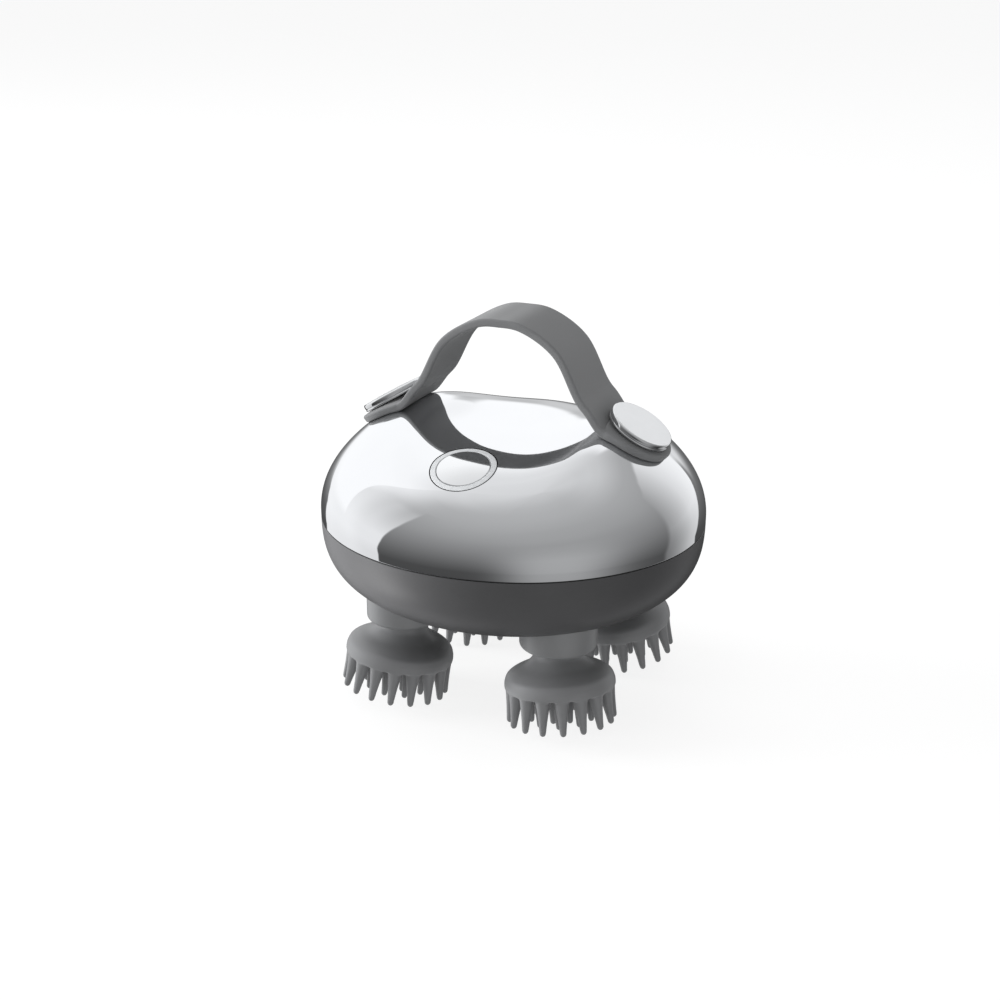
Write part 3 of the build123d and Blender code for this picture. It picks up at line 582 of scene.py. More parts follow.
under_pts = np.stack([r_here * np.cos(th), B / A * r_here * np.sin(th), z_here], 1)
ez, ex, ey = np.array([0, 0, 1.0]), np.array([1.0, 0, 0]), np.array([0, 1.0, 0])
holes = []
for hx, hy in HEADS.values():
    holes.append(Hole((hx, hy, 30.0), ex, ey, -ez, COLLAR_R + 0.10, lambda u, v, hx=hx, hy=hy: under(u, v, hx, hy)))
for sx in (-1, 1):
    for sy in (-1, 1):
        holes.append(Hole((sx * SCREW_X, sy * SCREW_Y, 33.5), ex, ey, -ez, 2.9,
                          lambda u, v, cx=sx * SCREW_X, cy=sy * SCREW_Y: under(u, v, cx, cy)))
for cx in (-5.0, 5.0):
    holes.append(Hole((cx, 54.0, 45.0), -ex, ez, ey, 3.12, lambda u, v, cx=cx: behind(u, v, cx, 45.0)))
RIM_DOWN = False
v, f, nrm, idx = shell("housing", under_pts, quads[:, ::-1], rim, holes, 2.2,
                       ((0.02, SEAM_LO - 0.10, 0.4), (0.09, SEAM_LO - 0.02, 1.1), (0.22, SEAM_LO, 1.57),
                        (2.0, SEAM_LO, 1.57)), [HOUSING], bevel=0.12)
ok = clean_faces(v, f)
housing = make_mesh("housing_shell", v, f[ok], nrm, [HOUSING])
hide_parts("lower_housing")

# rubber plugs over the screws, and the two charge contacts in their insulating rings


def join(objs, name):
    for o in bpy.context.selected_objects:
        o.select_set(False)
    for o in objs:
        o.select_set(True)
    bpy.context.view_layer.objects.active = objs[0]
    bpy.ops.object.join()
    objs[0].name = name
    objs[0].data.name = name
    return objs[0]


plugs = []
for sx in (-1, 1):
    for sy in (-1, 1):
        cx, cy = sx * SCREW_X, sy * SCREW_Y
        plugs.append(surface_disc(f"plug_{sx}_{sy}".replace("-", "m"), lambda u, v, cx=cx, cy=cy: under(u, v, cx, cy),
                                  -ez, ex, ey, 0.0, 2.78, 3.0, [PLUG], "housing", edge=0.25, sink=0.12, rings=6, seg=40))
plug_set = join(plugs, "plug_set")
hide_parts("screw_plugs")
seats, pins = [], []
for cx in (-5.0, 5.0):
    place = lambda u, v, cx=cx: behind(u, v, cx, 45.0)
    seats.append(surface_disc(f"seat_{'l' if cx > 0 else 'r'}", place, ey, -ex, ez, 2.02, 3.02, 2.0, [BLACK], "housing",
                              edge=0.15, sink=0.05, rings=4, seg=48))
    pins.append(surface_disc(f"pin_{'l' if cx > 0 else 'r'}", place, ey, -ex, ez, 0.0, 1.96, 3.0, [GOLD], "housing",
                             edge=0.25, sink=0.15, rings=6, seg=48, crowned=0.12))
seat_set, pin_set = join(seats, "seat_rings"), join(pins, "contact_pins")
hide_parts("contact_seats")
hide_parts("charge_contacts")


# ------------------------------------------------------------------ turned pieces
def lathe(name, profile, materials, body, matrix=None, seg=96, index=None, close=True):
    """profile is (r, z, normal angle or None); normals come from the profile's own direction."""
    prof = [(p[0], p[1]) for p in profile]
    n = len(prof)
    ang = np.linspace(0, 2 * math.pi, seg, endpoint=False)
    V = np.concatenate([np.stack([r * np.cos(ang), r * np.sin(ang), np.full(seg, z)], 1) for r, z in prof])
    ids = np.arange(n * seg).reshape(n, seg)
    faces, mi = [], []
    for k in range(n - (0 if close else 1)):
        a, b2 = ids[k], ids[(k + 1) % n]
        faces.append(np.stack([a, np.roll(a, -1), np.roll(b2, -1), b2], 1))
        mi += [index[k] if index else 0] * seg
    faces = np.concatenate(faces)
    ok = clean_faces(V, faces)
    me_index = np.array(mi)[ok]
    ob = make_mesh(name, V, faces[ok], None, materials, me_index, body, matrix)
    weld = ob.modifiers.new("weld", "WELD")
    weld.merge_threshold = 1e-7
    return ob


def rounded(points, radii, steps=5):
    """Polyline with rounded corners; points closed, radii one each."""
    out = []
    n = len(points)
    for i in range(n):
        p0, p1, p2 = (np.array(points[(i + k) % n], float) for k in (-1, 0, 1))
        r = radii[i]
        if r <= 0:
            out.append(tuple(p1))
            continue
        d0, d2 = unit(p0 - p1), unit(p2 - p1)
        half = math.acos(max(-1, min(1, float(d0 @ d2)))) / 2
        if half > 1.5:
            out.append(tuple(p1))
            continue
        t = min(r / math.tan(half), 0.49 * np.linalg.norm(p0 - p1), 0.49 * np.linalg.norm(p2 - p1))
        a, c = p1 + d0 * t, p1 + d2 * t
        for k in range(steps + 1):
            q = k / steps
            out.append(tuple((1 - q) ** 2 * a + 2 * q * (1 - q) * p1 + q * q * c))
    return out


for k, (hx, hy) in HEADS.items():
    prof = rounded([(8.7, 25.4), (COLLAR_R, 25.4), (COLLAR_R, 35.9), (8.7, 35.9), (8.7, 30.0)], [0.5, 1.6, 0.3, 0, 0], 8)
    prof = [(r, z) for r, z in prof]
    c = lathe(f"sleeve_{k}", prof, [COLLAR], "housing", Matrix.Translation((hx * MM, hy * MM, 0)))
    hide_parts(f"collar_{k}")

# ------------------------------------------------------------------ massage heads
TIP_R, TIP_CIRCLE, ROOT_CIRCLE, ROOT_R, DISC_L = 0.9, 15.4, 13.75, 2.45, 12.5
TIP_L = (PIVOT_Z - 0.963 * TIP_R - TIP_CIRCLE * math.sin(TILT)) / math.cos(TILT) + TIP_R


def add_lathe(verts, faces, prof, seg, loc=None):
    base = len(verts)
    ang = np.linspace(0, 2 * math.pi, seg, endpoint=False)
    n = len(prof)
    rows = []
    for r, z in prof:
        if r < 1e-6:
            p = np.array([[0, 0, z]])
        else:
            p = np.stack([r * np.cos(ang), r * np.sin(ang), np.full(seg, z)], 1)
        if loc is not None:
            p = p @ loc[0].T + loc[1]
        rows.append((len(verts), len(p)))
        verts.extend([tuple(q) for q in p])
    for k in range(n - 1):
        (a, na), (b2, nb) = rows[k], rows[k + 1]
        for j in range(seg):
            j2 = (j + 1) % seg
            if na == 1:
                faces.append((a, b2 + j, b2 + j2))
            elif nb == 1:
                faces.append((a + j, b2, a + j2))
            else:
                faces.append((a + j, b2 + j, b2 + j2, a + j2))
    return base


def rot_y(a):
    return np.array([[math.cos(a), 0, math.sin(a)], [0, 1, 0], [-math.sin(a), 0, math.cos(a)]])


def rot_z(a):
    return np.array([[math.cos(a), -math.sin(a), 0], [math.sin(a), math.cos(a), 0], [0, 0, 1]])


def cone_profile(root_r, tip_r, length, grow=0.0):
    """From the root's centre round to the tip, closed on the axis, pointing down."""
    zc = -(length - tip_r)
    prof = [(0, 0.0), (root_r + grow, 0.0)]
    for k in range(1, 8):
        q = k / 8
        # slightly hollow sides, as moulded bristles have
        r = (root_r + (tip_r - root_r) * q) - 0.16 * math.sin(math.pi * q) + grow
        prof.append((r, zc * q))
    for k in range(7):
        a = math.pi / 2 * k / 6
        prof.append(((tip_r + grow) * math.cos(a), zc - (tip_r + grow) * math.sin(a)))
    prof[-1] = (0, prof[-1][1])
    return prof


def head_mesh():
    verts, faces = [], []
    skin = [(7.2, -1.2), (7.9, -3.2), (10.2, -5.3), (13.4, -6.8), (15.6, -8.3), (16.4, -10.2)]
    # smooth flare through the same points as the frame's profile
    pts = [np.array(p) for p in skin]
    ext = [2 * pts[0] - pts[1]] + pts + [2 * pts[-1] - pts[-2]]
    curve = []
    for i in range(1, len(ext) - 2):
        for q in range(5):
            t = q / 5
            p0, p1, p2, p3 = ext[i - 1:i + 3]
            curve.append(tuple(0.5 * ((2 * p1) + (p2 - p0) * t + (2 * p0 - 5 * p1 + 4 * p2 - p3) * t ** 2
                                      + (3 * p1 - p0 - 3 * p2 + p3) * t ** 3)))
    curve.append(tuple(pts[-1]))
    g = 0.03
    prof = [(0, -4.0), (5.0, -4.0), (5.0, 1.6), (6.5, 1.6), (7.0, 1.2), (7.2, 0.6)] + [(r + g, z) for r, z in curve] + [
        (16.5, -11.4), (16.45, -12.1), (16.1, -12.45), (15.0, -12.5), (0, -12.5)]
    add_lathe(verts, faces, prof, 128)
    lean = math.atan2(TIP_CIRCLE - ROOT_CIRCLE, TIP_L - TIP_R - (DISC_L - 0.7))
    outer_len = (TIP_L - TIP_R - (DISC_L - 0.7)) / math.cos(lean) + TIP_R
    for i in range(16):
        a = math.radians(22.5 * i)
        R = rot_z(a) @ rot_y(-lean)
        T = rot_z(a) @ np.array([ROOT_CIRCLE, 0, -(DISC_L - 0.9)])
        add_lathe(verts, faces, cone_profile(ROOT_R, TIP_R, outer_len + 0.2, 0.08), 24, (R, T))
    for i in range(9):
        a = math.radians(40 * i + 11)
        add_lathe(verts, faces, cone_profile(2.1, 0.85, TIP_L + 0.1 - (DISC_L - 0.5), 0.08), 20,
                  (np.eye(3), np.array([9.0 * math.cos(a), 9.0 * math.sin(a), -(DISC_L - 0.5)])))
    for i in range(4):
        a = math.radians(90 * i + 20)
        add_lathe(verts, faces, cone_profile(2.0, 0.85, TIP_L + 0.5 - (DISC_L - 0.5), 0.08), 20,
                  (np.eye(3), np.array([3.5 * math.cos(a), 3.5 * math.sin(a), -(DISC_L - 0.5)])))
    me = bpy.data.meshes.new("head_proto")
    me.from_pydata([tuple(np.array(v) * MM) for v in verts], [], faces)
    bm = bmesh.new()
    bm.from_mesh(me)
    bmesh.ops.recalc_face_normals(bm, faces=bm.faces)
    bm.to_mesh(me)
    bm.free()
    ob = bpy.data.objects.new("head_proto", me)
    scene.collection.objects.link(ob)
    rem = ob.modifiers.new("remesh", "REMESH")
    rem.mode = "VOXEL"
    rem.voxel_size = 0.34 * MM
    sm = ob.modifiers.new("smooth", "SMOOTH")
    sm.factor = 0.5
    sm.iterations = 5
    dg = bpy.context.evaluated_depsgraph_get()
    out = bpy.data.meshes.new_from_object(ob.evaluated_get(dg))
    bpy.data.objects.remove(ob)
    out.polygons.foreach_set("use_smooth", [True] * len(out.polygons))
    return out


proto = head_mesh()
ct, st = math.cos(TILT), math.sin(TILT)
for k, (hx, hy) in HEADS.items():
    d = math.hypot(hx, hy)
    dx, dy = hx / d, hy / d
    X, Z = Vector((ct * dx, ct * dy, st)), Vector((-st * dx, -st * dy, ct))
    Y = Z.cross(X)
    M = Matrix.Translation((hx * MM, hy * MM, PIVOT_Z * MM)) @ Matrix((X, Y, Z)).transposed().to_4x4()
    me = proto.copy()
    me.name = f"bristle_head_{k}"
    me.transform(M)
    me.materials.clear()
    me.materials.append(SILICONE)
    ob = bpy.data.objects.new(f"bristle_head_{k}", me)
    scene.collection.objects.link(ob)
    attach(ob, f"head_{k}")
    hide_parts(f"massage_head_{k}")
bpy.data.meshes.remove(proto)

# ------------------------------------------------------------------ carry strap
cb, sb_ = math.cos(PLATE_TILT), math.sin(PLATE_TILT)
half = [(PAD_X + 13.5 * cb, PAD_Z - 13.5 * sb_), (PAD_X + 4.0 * cb, PAD_Z - 4.0 * sb_),
        (PAD_X - 8.38 * cb, PAD_Z + 8.38 * sb_), (24.90, 94.34), (16.74, 108.34), (6.54, 114.46), (0.0, 115.09)]


def catmull(points, per):
    P = [np.array(p, float) for p in points]
    P = [2 * P[0] - P[1]] + P + [2 * P[-1] - P[-2]]
    out = []
    for i in range(1, len(P) - 2):
        p0, p1, p2, p3 = P[i - 1:i + 3]
        t0 = 0.0
        t1 = t0 + np.linalg.norm(p1 - p0) ** 0.5
        t2 = t1 + np.linalg.norm(p2 - p1) ** 0.5
        t3 = t2 + np.linalg.norm(p3 - p2) ** 0.5
        for q in range(per):
            t = t1 + (t2 - t1) * q / per
            a1 = p0 * ((t1 - t) / (t1 - t0)) + p1 * ((t - t0) / (t1 - t0))
            a2 = p1 * ((t2 - t) / (t2 - t1)) + p2 * ((t - t1) / (t2 - t1))
            a3 = p2 * ((t3 - t) / (t3 - t2)) + p3 * ((t - t2) / (t3 - t2))
            b1 = a1 * ((t2 - t) / (t2 - t0)) + a2 * ((t - t0) / (t2 - t0))
            b2 = a2 * ((t3 - t) / (t3 - t1)) + a3 * ((t - t1) / (t3 - t1))
            out.append(b1 * ((t2 - t) / (t2 - t1)) + b2 * ((t - t1) / (t2 - t1)))
    out.append(P[-2])
    return np.array(out)


line = catmull(half + [(-x, z) for x, z in reversed(half[:-1])], 24)
arc = np.concatenate([[0], np.cumsum(np.linalg.norm(np.diff(line, axis=0), axis=1))])
total = arc[-1]
step = 0.45
# the pads lie on the skin, then the strap lifts off it; stations are dense at the rounded ends
END = 13.5 - PAD_END
ends = STRAP_HALF_W * (1 - np.cos(np.linspace(0, math.pi / 2, 34)))
mid = np.linspace(END + STRAP_HALF_W, total - END - STRAP_HALF_W, int((total - 27) / step))
stations = np.concatenate([END + ends[:-1], mid, total - END - ends[:-1][::-1]])


def strap_under(sta, y):
    """Underside of the strap at a distance along it and across it."""
    px, pz = np.interp(sta, arc, line[:, 0]), np.interp(sta, arc, line[:, 1])
    lx, lz = np.where(sta < total / 2, sb_, -sb_), cb
    g = np.zeros_like(px + y)
    for _ in range(25):
        g = g + np.clip((pz - lz * g) - top_z(px - lx * g, y), -2, 2) * 0.7
    from_stud = np.minimum(sta, total - sta) - 13.5
    t = np.clip((HUG_OUT - from_stud) / (HUG_OUT - HUG_IN), 0, 1)
    g = g - 0.04
    pull = t * t * (3 - 2 * t) * (g - HUG_SOFT * np.log1p(np.exp((g - HUG_MOST) / HUG_SOFT)))
    return np.stack([px - lx * pull, y + 0 * px, pz - lz * pull], -1)


EDGE = 0.72
dist_steps = [0.0, 0.03, 0.09, 0.18, 0.30, 0.45, 0.60, 0.74, 1.0, 1.5, 2.2, 3.1, 4.2, 5.4, 6.6, 7.8, 9.0, 10.2, 11.1]
ys_half = [STRAP_HALF_W - d for d in dist_steps]
cols = ys_half + [0.0] + [-q for q in reversed(ys_half)]
cols = np.array(sorted(set(cols), reverse=True))


def strap_height(dist):
    """Half thickness near the outline: a quarter round of radius EDGE."""
    dist = np.clip(dist, 0, EDGE)
    return STRAP_T / 2 - EDGE + np.sqrt(np.maximum(0, EDGE ** 2 - (EDGE - dist) ** 2))


rows = len(stations)
S_, C_ = np.meshgrid(stations, cols, indexing="ij")
D_ = np.maximum(0, np.maximum(END + STRAP_HALF_W - S_, S_ - (total - END - STRAP_HALF_W)))
W_ = np.sqrt(np.maximum(0, STRAP_HALF_W ** 2 - np.minimum(D_, STRAP_HALF_W) ** 2))
Y_ = np.sign(C_) * np.maximum(0, W_ - (STRAP_HALF_W - np.abs(C_)) * W_ / STRAP_HALF_W)
h = strap_height(STRAP_HALF_W - np.hypot(D_, Y_))[..., None]
P_ = strap_under(S_, Y_)
along_s = strap_under(S_ + 0.05, Y_) - strap_under(S_ - 0.05, Y_)
along_y = strap_under(S_, Y_ + 0.05) - strap_under(S_, Y_ - 0.05)
N_ = unit(np.cross(along_y, along_s))
N_ *= np.sign(N_[..., 2:3] + 1e-9)
middle = P_ + N_ * STRAP_T / 2
top, low = middle + N_ * h, middle - N_ * h
# the caps press a little way into the pads
for sg in (1, -1):
    d_ = top - np.array([sg * PAD_X, 0.0, PAD_Z])
    along_pad, over_pad = d_[..., 0] * sg * cb - d_[..., 2] * sb_, d_[..., 0] * sg * sb_ + d_[..., 2] * cb
    r_ = np.hypot(along_pad, d_[..., 1])
    most = STRAP_T - 0.42 + 4 * np.maximum(0, r_ - CAP_R - 0.05)
    cut = np.where(np.hypot(r_, over_pad) < 20, np.maximum(0, over_pad - most), 0)[..., None]
    top = top - cut * np.array([sg * sb_, 0.0, cb])
top, low = top.reshape(-1, 3), low.reshape(-1, 3)
ncol = len(cols)
verts = np.concatenate([top, low])
n_top = len(top)
ids = np.arange(rows * ncol).reshape(rows, ncol)
quads_t = np.stack([ids[:-1, :-1], ids[1:, :-1], ids[1:, 1:], ids[:-1, 1:]], -1).reshape(-1, 4)
faces = [quads_t, quads_t[:, ::-1] + n_top]
left_e, right_e = ids[:, 0], ids[:, -1]
faces.append(np.stack([left_e[:-1], left_e[:-1] + n_top, left_e[1:] + n_top, left_e[1:]], 1))
faces.append(np.stack([right_e[1:], right_e[1:] + n_top, right_e[:-1] + n_top, right_e[:-1]], 1))
e0, e1 = ids[0], ids[-1]
faces.append(np.stack([e0[1:], e0[1:] + n_top, e0[:-1] + n_top, e0[:-1]], 1))
faces.append(np.stack([e1[:-1], e1[:-1] + n_top, e1[1:] + n_top, e1[1:]], 1))
faces = np.concatenate(faces)
me = bpy.data.meshes.new("strap_band")
me.from_pydata([tuple(v) for v in verts * MM], [], [tuple(int(q) for q in f) for f in faces])
bm = bmesh.new()
bm.from_mesh(me)
bmesh.ops.remove_doubles(bm, verts=bm.verts, dist=1e-6)
bmesh.ops.dissolve_degenerate(bm, edges=bm.edges, dist=1e-7)
bmesh.ops.recalc_face_normals(bm, faces=bm.faces)
bm.to_mesh(me)
bm.free()
me.polygons.foreach_set("use_smooth", [True] * len(me.polygons))
me.materials.append(STRAP)
strap = bpy.data.objects.new("strap_band", me)
scene.collection.objects.link(strap)
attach(strap, "housing")
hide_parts("carry_strap")

# ------------------------------------------------------------------ strap caps
t0 = STRAP_T - 0.4
for side, sg in (("right", 1), ("left", -1)):
    Xd = Vector((sg * cb, 0, -sb_))
    Zd = Vector((sg * sb_, 0, cb))
    Yd = Zd.cross(Xd)
    M = Matrix.Translation((sg * PAD_X * MM, 0, PAD_Z * MM)) @ Matrix((Xd, Yd, Zd)).transposed().to_4x4()
    prof, mi = [], []
    # side with a fine groove, then a rounded shoulder, then a slightly domed top
    side_pts = [(0.0, t0 + 0.02), (9.6, t0 + 0.02), (9.85, t0 + 0.12), (9.92, t0 + 0.35), (9.92, t0 + 0.62),
                (9.78, t0 + 0.70), (9.78, t0 + 0.80), (9.92, t0 + 0.88), (9.97, t0 + 1.1), (9.97, t0 + 1.75)]
    turn = []
    for q in range(7):
        a = q / 6 * math.pi / 2
        turn.append((9.97 - 0.55 * (1 - math.cos(a)), t0 + 1.75 + 0.55 * math.sin(a)))
    dome = []
    for q in range(1, 26):
        r = 9.42 * (1 - q / 25)
        dome.append((r, t0 + 2.30 + 0.30 * (1 - (r / 9.42) ** 2)))
    prof = side_pts + turn + dome
    n_side = len(side_pts) + len(turn) - 2
    idx = [1 if k < n_side else 0 for k in range(len(prof))]
    cap = lathe(f"cap_disc_{side}", prof, [CAP_TOP, CAP_SIDE], "housing", M, seg=160, index=idx, close=False)
    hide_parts(f"strap_cap_{side}")

# ------------------------------------------------------------------ finishes of the pieces kept from the frame
KEEP = {
    "seam_gasket": RUBBER, "gearbox_plate": BLACK, "plate_screws": ZINC, "cover_screws": ZINC, "motor_can": MOTOR,
    "motor_gearbox": MOTOR, "motor_end_cap": BLACK, "motor_screws": ZINC, "battery_cell": WRAP, "battery_cradle": BLACK,
    "circuit_board": GREEN, "board_screws": ZINC, "tact_switch": BLACK, "button_seal": RUBBER, "strap_washers": RUBBER,
    "strap_nuts": ZINC, "lower_bearings": STEEL, "shaft_seals": RUBBER, "upper_bushes": BRONZE, "drive_bush": BRONZE,
    "output_shaft": STEEL, "drive_gear": WHITE, "gear_clip": ZINC, "button_plunger": WHITE,
}
for k in HEADS:
    KEEP[f"crank_shaft_{k}"] = STEEL
    KEEP[f"output_gear_{k}"] = WHITE
    KEEP[f"head_core_{k}"] = BLACK
for node, mat in KEEP.items():
    ob = NODES[node]
    if not ob.material_slots:
        ob.data.materials.append(mat)
    for s_ in ob.material_slots:
        s_.material = mat

# ------------------------------------------------------------------ floor, reflections and lights
FLOOR_GLOW, FLOOR_SHARE = 1.105, 0.77
FLOOR, nt, b = new_material("pale_floor")
vec = object_coords(nt)
f = noise(nt, vec, 6.0, 3.0, 0.5)
nt.links.new(mix_color(nt, f, (0.90, 0.905, 0.91), (0.92, 0.925, 0.93)), b.inputs["Base Color"])
b.inputs["Roughness"].default_value = 0.85
b.inputs["Specular IOR Level"].default_value = 0.1
glow = nt.nodes.new("ShaderNodeEmission")
glow.inputs["Color"].default_value = (1.0, 1.0, 1.0, 1)
glow.inputs["Strength"].default_value = FLOOR_GLOW
blend = nt.nodes.new("ShaderNodeMixShader")
blend.inputs[0].default_value = FLOOR_SHARE
nt.links.new(b.outputs["BSDF"], blend.inputs[1])
nt.links.new(glow.outputs["Emission"], blend.inputs[2])
surface = [n for n in nt.nodes if n.bl_idname == "ShaderNodeOutputMaterial"][0].inputs["Surface"]
nt.links.new(blend.outputs["Shader"], surface)
me = bpy.data.meshes.new("floor")
bm = bmesh.new()
R = 30.0
ring_v = [bm.verts.new((R * math.cos(2 * math.pi * k / 64), R * math.sin(2 * math.pi * k / 64), 0)) for k in range(64)]
bm.faces.new(ring_v)
bm.to_mesh(me)
bm.free()
me.materials.append(FLOOR)
floor = bpy.data.objects.new("floor", me)
scene.collection.objects.link(floor)
floor.visible_glossy = False
floor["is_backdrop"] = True


def ss(a, b2, x):
    t = np.clip((x - a) / (b2 - a), 0, 1)
    return t * t * (3 - 2 * t)


def studio(azd, eld):
    """Display brightness (0 to 1) of the studio in a direction: azimuth 0 towards -Y, 90 towards +X."""
    azd, eld = np.broadcast_arrays(np.asarray(azd, float), np.asarray(eld, float))
    wrap = np.where(azd < -90, azd + 360, azd)
    # room gradient, from a dark floor to a pale ceiling
    V = np.interp(eld, [-90, -30, -24, -19, -10, 0, 12, 30, 46, 58, 66, 74, 82, 90],
                  [38, 55, 68, 80, 96, 112, 129, 151, 165, 172.5, 175.5, 181, 192, 202])
    # pale bounce card, low in front on the right
    x = azd - 46
    card = np.where(x < 0, np.exp(-(np.abs(x) / 34.6) ** 3.2), np.exp(-(np.abs(x) / 40.7) ** 2.44))
    V = V + card * np.interp(eld, [-40, -20, 0, 12, 22, 42], [88, 83, 52, 27, 11, 0])
    # ceiling glow towards the right and the back
    V = V + ss(60, 135, wrap) * (1 - ss(150, 215, wrap)) * np.interp(eld, [48, 62, 68, 78, 90], [2, 24, 26, 19, 4])
    # the ceiling's glow on the left
    c = np.interp(eld, [45, 60, 70, 80], [77, 71, 53, 45])
    w = np.interp(eld, [45, 60, 75], [9.5, 9.5, 18])
    side = 1 / (1 + np.exp(-(-azd - c) / w)) * np.where(azd > 0, 0.0, 1.0)
    side = np.where(wrap > 150, ss(150, 215, wrap), side)
    amp = np.interp(eld, [40, 47, 52, 57, 62, 67, 72, 78, 90], [92, 86, 80, 66, 54, 46, 42, 30, 8])
    high = V + side * amp
    # big soft panel on the left: crisp right edge, brightest away from it
    panel = 231 - np.clip(eld - 4, 0, None) * (0.75 + 0.5 * ss(-71, -56, azd)) + 9 * ss(-71, -88, azd) \
        + np.clip(eld - 4, 0, None) * 0.28 * ss(-71, -86, azd) - 0.75 * np.clip(-9 - eld, 0, None) + 4 * ss(-92, -118, azd)
    core = ss(-1, 1, (np.interp(eld, [8, 27, 36, 50], [-99, -99, -91, -86]) - azd) / 7.5)
    core = np.where(wrap > 150, 1.0, core) * ss(-3, 6, eld)
    panel = panel + (252 - panel) * core
    edge = np.interp(eld, [-22, -14, -4, 4, 12, 24, 36, 46], [-62.5, -61, -57.8, -56, -54, -51.3, -50, -50])
    blur = np.interp(eld, [-10, 10, 46], [0.5, 0.8, 1.5])
    on = ss(-1, 1, (edge - azd) / blur)
    on = np.where(wrap > 150, ss(186, 194, wrap), on)
    top = ss(41, 48, eld)
    left = panel * (1 - top) + high * top
    V = np.where(eld > 48, high, V * (1 - on) + left * on)
    # panel at the right back: crisp left and top edges, brighter towards its far end
    p = np.interp(wrap, [117, 126, 147, 157, 166], [138, 160, 217, 233, 243])
    p = p + np.interp(eld, [-22, -10, 0, 36], [-34, -16, 0, 10]) * (1 - 0.75 * ss(126, 150, wrap) * (eld > 0))
    t_edge = np.interp(wrap, [118, 126, 132, 142], [33, 36.5, 39.8, 41.5])
    inside = ss(117.2, 122.5, wrap) * ss(1, -1, (eld - t_edge) / 1.2) * (1 - ss(168, 176, wrap))
    V = V + (242 - V) * ss(164, 172, wrap) * (1 - ss(192, 200, wrap)) * ss(8, 16, eld) * (1 - ss(52, 62, eld))
    V = V * (1 - inside) + p * inside
    # the dark room behind, low down
    right_edge = np.interp(eld, [-21, -14, -9, -5, 1.5, 8], [157.3, 158.7, 160.6, 162.6, 166.8, 168.5])
    dark = np.interp(eld, [-24, -19, -15, -11, -4, 5, 9, 13], [62, 76, 87, 96, 112, 122, 185, 205])
    lifted = np.interp(eld, [-24, -19, -15, -11, -6, -3, 0, 4, 9, 13], [62, 76, 87, 96, 107, 126, 165, 212, 225, 232])
    dark = dark + (lifted - dark) * ss(168, 173, wrap)
    low = ss(-0.8, 0.8, wrap - right_edge) * ss(13, 7, eld) * (1 - ss(196, 203, wrap) * ss(-6, 2, eld))
    left_limit = np.interp(eld, [-20, -15, -10, -5, -1, 3], [-122.5, -120, -117.5, -119.5, -127, -150])
    low = low * ss(-0.9, 0.9, left_limit + 360 - wrap)
    lowleft = np.interp(eld, [-24, -19, -15, -11, -7, -2], [62, 80, 88, 108, 128, 168])
    dark = dark + (lowleft - dark) * ss(185, 205, wrap)
    V = V * (1 - low) + dark * low
    # the panel fades towards the floor behind the back rim
    fade = np.interp(wrap, [197, 200, 203, 205, 207, 212], [19, 12, 8, 2, -2, -4])
    foot = ss(fade + 2.5, fade - 2.5, eld) * ss(184, 190, wrap) * ss(232, 216, wrap) * (1 - low)
    V = V + (np.minimum(V, 188) - V) * foot
    return np.clip(V, 0, 255) / 255


ndiv, mdiv = 720, 360
azs = np.linspace(-180, 180, ndiv, endpoint=False)
els = np.linspace(-90, 90, mdiv + 1)
verts, rad = [], []
RD = 12.0
for e_ in els:
    a = np.radians(azs)
    c_, s_ = math.cos(math.radians(e_)), math.sin(math.radians(e_))
    verts.append(np.stack([RD * c_ * np.sin(a), -RD * c_ * np.cos(a), np.full(ndiv, RD * s_)], 1))
    shown = studio(azs, np.full(ndiv, e_))
    # from display brightness to light, allowing for what the chrome absorbs
    rad.append(np.where(shown <= 0.04045, shown / 12.92, ((shown + 0.055) / 1.055) ** 2.4) / 0.93)
verts, rad = np.concatenate(verts), np.concatenate(rad)
ids = np.arange((mdiv + 1) * ndiv).reshape(mdiv + 1, ndiv)
faces = []
for k in range(mdiv):
    a, b2 = ids[k], ids[k + 1]
    faces.append(np.stack([a, b2, np.roll(b2, -1), np.roll(a, -1)], 1))
faces = np.concatenate(faces)
me = bpy.data.meshes.new("studio_panels")
me.from_pydata([tuple(v) for v in verts], [], [tuple(int(q) for q in f_) for f_ in faces])
attr = me.color_attributes.new("glow", "FLOAT_COLOR", "POINT")
col = np.stack([rad * 0.985, rad * 0.995, rad * 1.01, np.ones_like(rad)], 1).astype(np.float32)
attr.data.foreach_set("color", col.ravel())
gm = bpy.data.materials.new("panel_glow")
gm.use_nodes = True
nt = gm.node_tree
nt.nodes.clear()
out = nt.nodes.new("ShaderNodeOutputMaterial")
em = nt.nodes.new("ShaderNodeEmission")
at = nt.nodes.new("ShaderNodeAttribute")
at.attribute_name = "glow"
nt.links.new(at.outputs["Color"], em.inputs["Color"])
nt.links.new(em.outputs["Emission"], out.inputs["Surface"])
me.materials.append(gm)
dome = bpy.data.objects.new("studio_panels", me)
scene.collection.objects.link(dome)
dome.location = (0, 0, 0.06)
dome.visible_camera = False
dome.visible_diffuse = False
dome.visible_transmission = False
dome.visible_volume_scatter = False
dome.visible_shadow = False
dome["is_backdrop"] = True

# plain white backdrop, seen by the camera only
bm = bmesh.new()
bmesh.ops.create_uvsphere(bm, u_segments=64, v_segments=32, radius=40.0)
me = bpy.data.meshes.new("backdrop")
bm.to_mesh(me)
bm.free()
WHITE_BACK = bpy.data.materials.new("white_backdrop")
WHITE_BACK.use_nodes = True
nt = WHITE_BACK.node_tree
nt.nodes.clear()
out = nt.nodes.new("ShaderNodeOutputMaterial")
em = nt.nodes.new("ShaderNodeEmission")
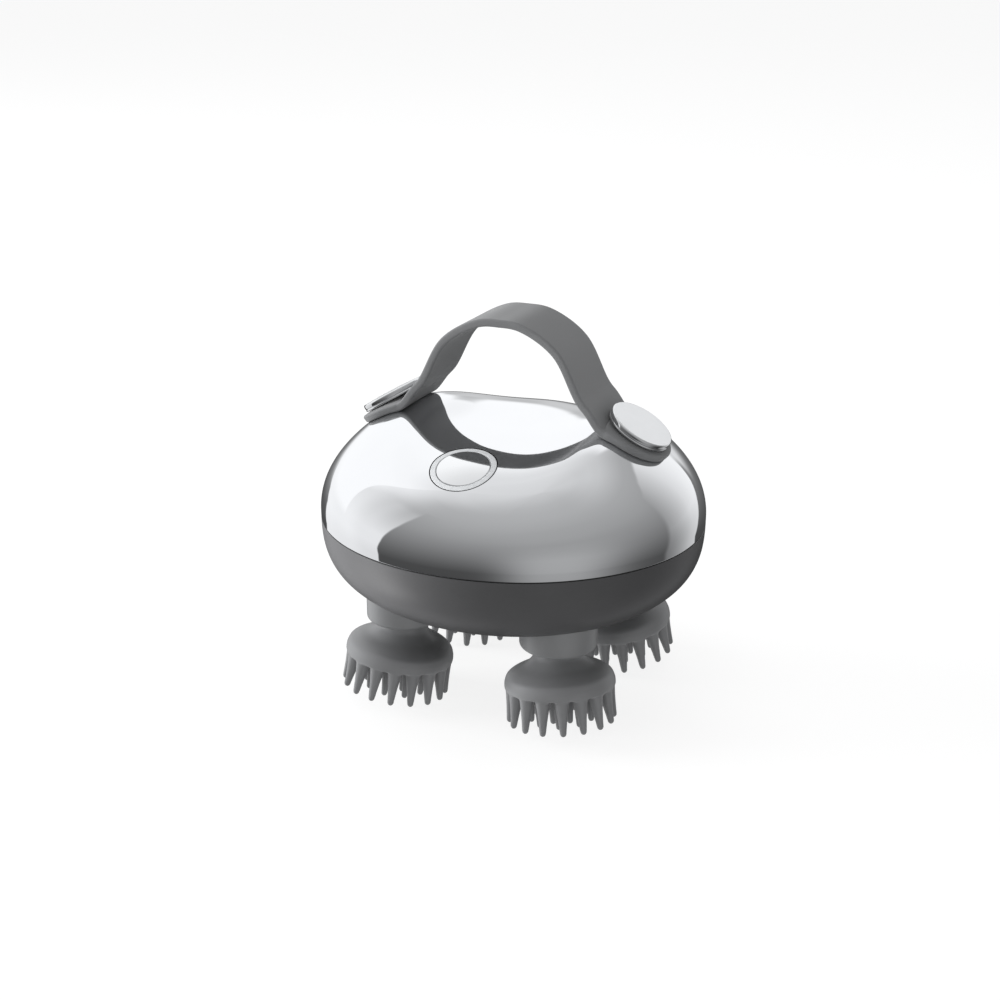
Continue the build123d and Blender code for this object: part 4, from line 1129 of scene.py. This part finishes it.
em.inputs["Color"].default_value = (1.0, 1.0, 1.0, 1)
em.inputs["Strength"].default_value = 1.05
nt.links.new(em.outputs["Emission"], out.inputs["Surface"])
me.materials.append(WHITE_BACK)
backdrop = bpy.data.objects.new("backdrop", me)
scene.collection.objects.link(backdrop)
backdrop.visible_glossy = False
backdrop.visible_diffuse = False
backdrop.visible_transmission = False
backdrop.visible_volume_scatter = False
backdrop.visible_shadow = False
backdrop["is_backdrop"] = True

world = bpy.data.worlds.new("world")
scene.world = world
world.use_nodes = True
bg = world.node_tree.nodes["Background"]
bg.inputs["Color"].default_value = (1.0, 1.0, 1.0, 1)
bg.inputs["Strength"].default_value = 0.38
world.cycles_visibility.glossy = False


def area(name, loc, target, size, power, glossy=False):
    ld = bpy.data.lights.new(name, "AREA")
    ld.shape = "RECTANGLE"
    ld.size, ld.size_y = size
    ld.energy = power
    ob = bpy.data.objects.new(name, ld)
    scene.collection.objects.link(ob)
    ob.location = loc
    ob.rotation_euler = (Vector(target) - Vector(loc)).to_track_quat("-Z", "Y").to_euler()
    ob.visible_camera = False
    ob.visible_glossy = glossy
    return ob


area("left", (-1.54, -0.42, 0.42), (0, 0, 0.05), (0.9, 0.8), 33.0)
area("front", (-0.1, -1.6, 0.2), (0, 0, 0.05), (1.0, 0.5), 5.0)
area("top", (-0.2, 0.2, 1.6), (0, 0, 0.05), (1.4, 1.4), 9.0)
# two side lights that only the dark housing receives: its left shoulder glows softly
# there while the grey silicone and the chrome beside it stay as they are
receivers = bpy.data.collections.new("side_light_receivers")
receivers.objects.link(housing)
blockers = bpy.data.collections.new("side_light_blockers")
blockers.objects.link(housing)
side = area("housing_side", (-1.57, -0.38, 0.12), (0, 0, 0.05), (0.6, 0.4), 68.0)
side.light_linking.receiver_collection = receivers
sheen_light = area("housing_sheen", (-0.397, -0.232, -0.22), (-0.03, -0.02, 0.045), (0.22, 0.26), 0.52, glossy=True)
sheen_light.light_linking.receiver_collection = receivers
sheen_light.light_linking.blocker_collection = blockers

low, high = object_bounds()
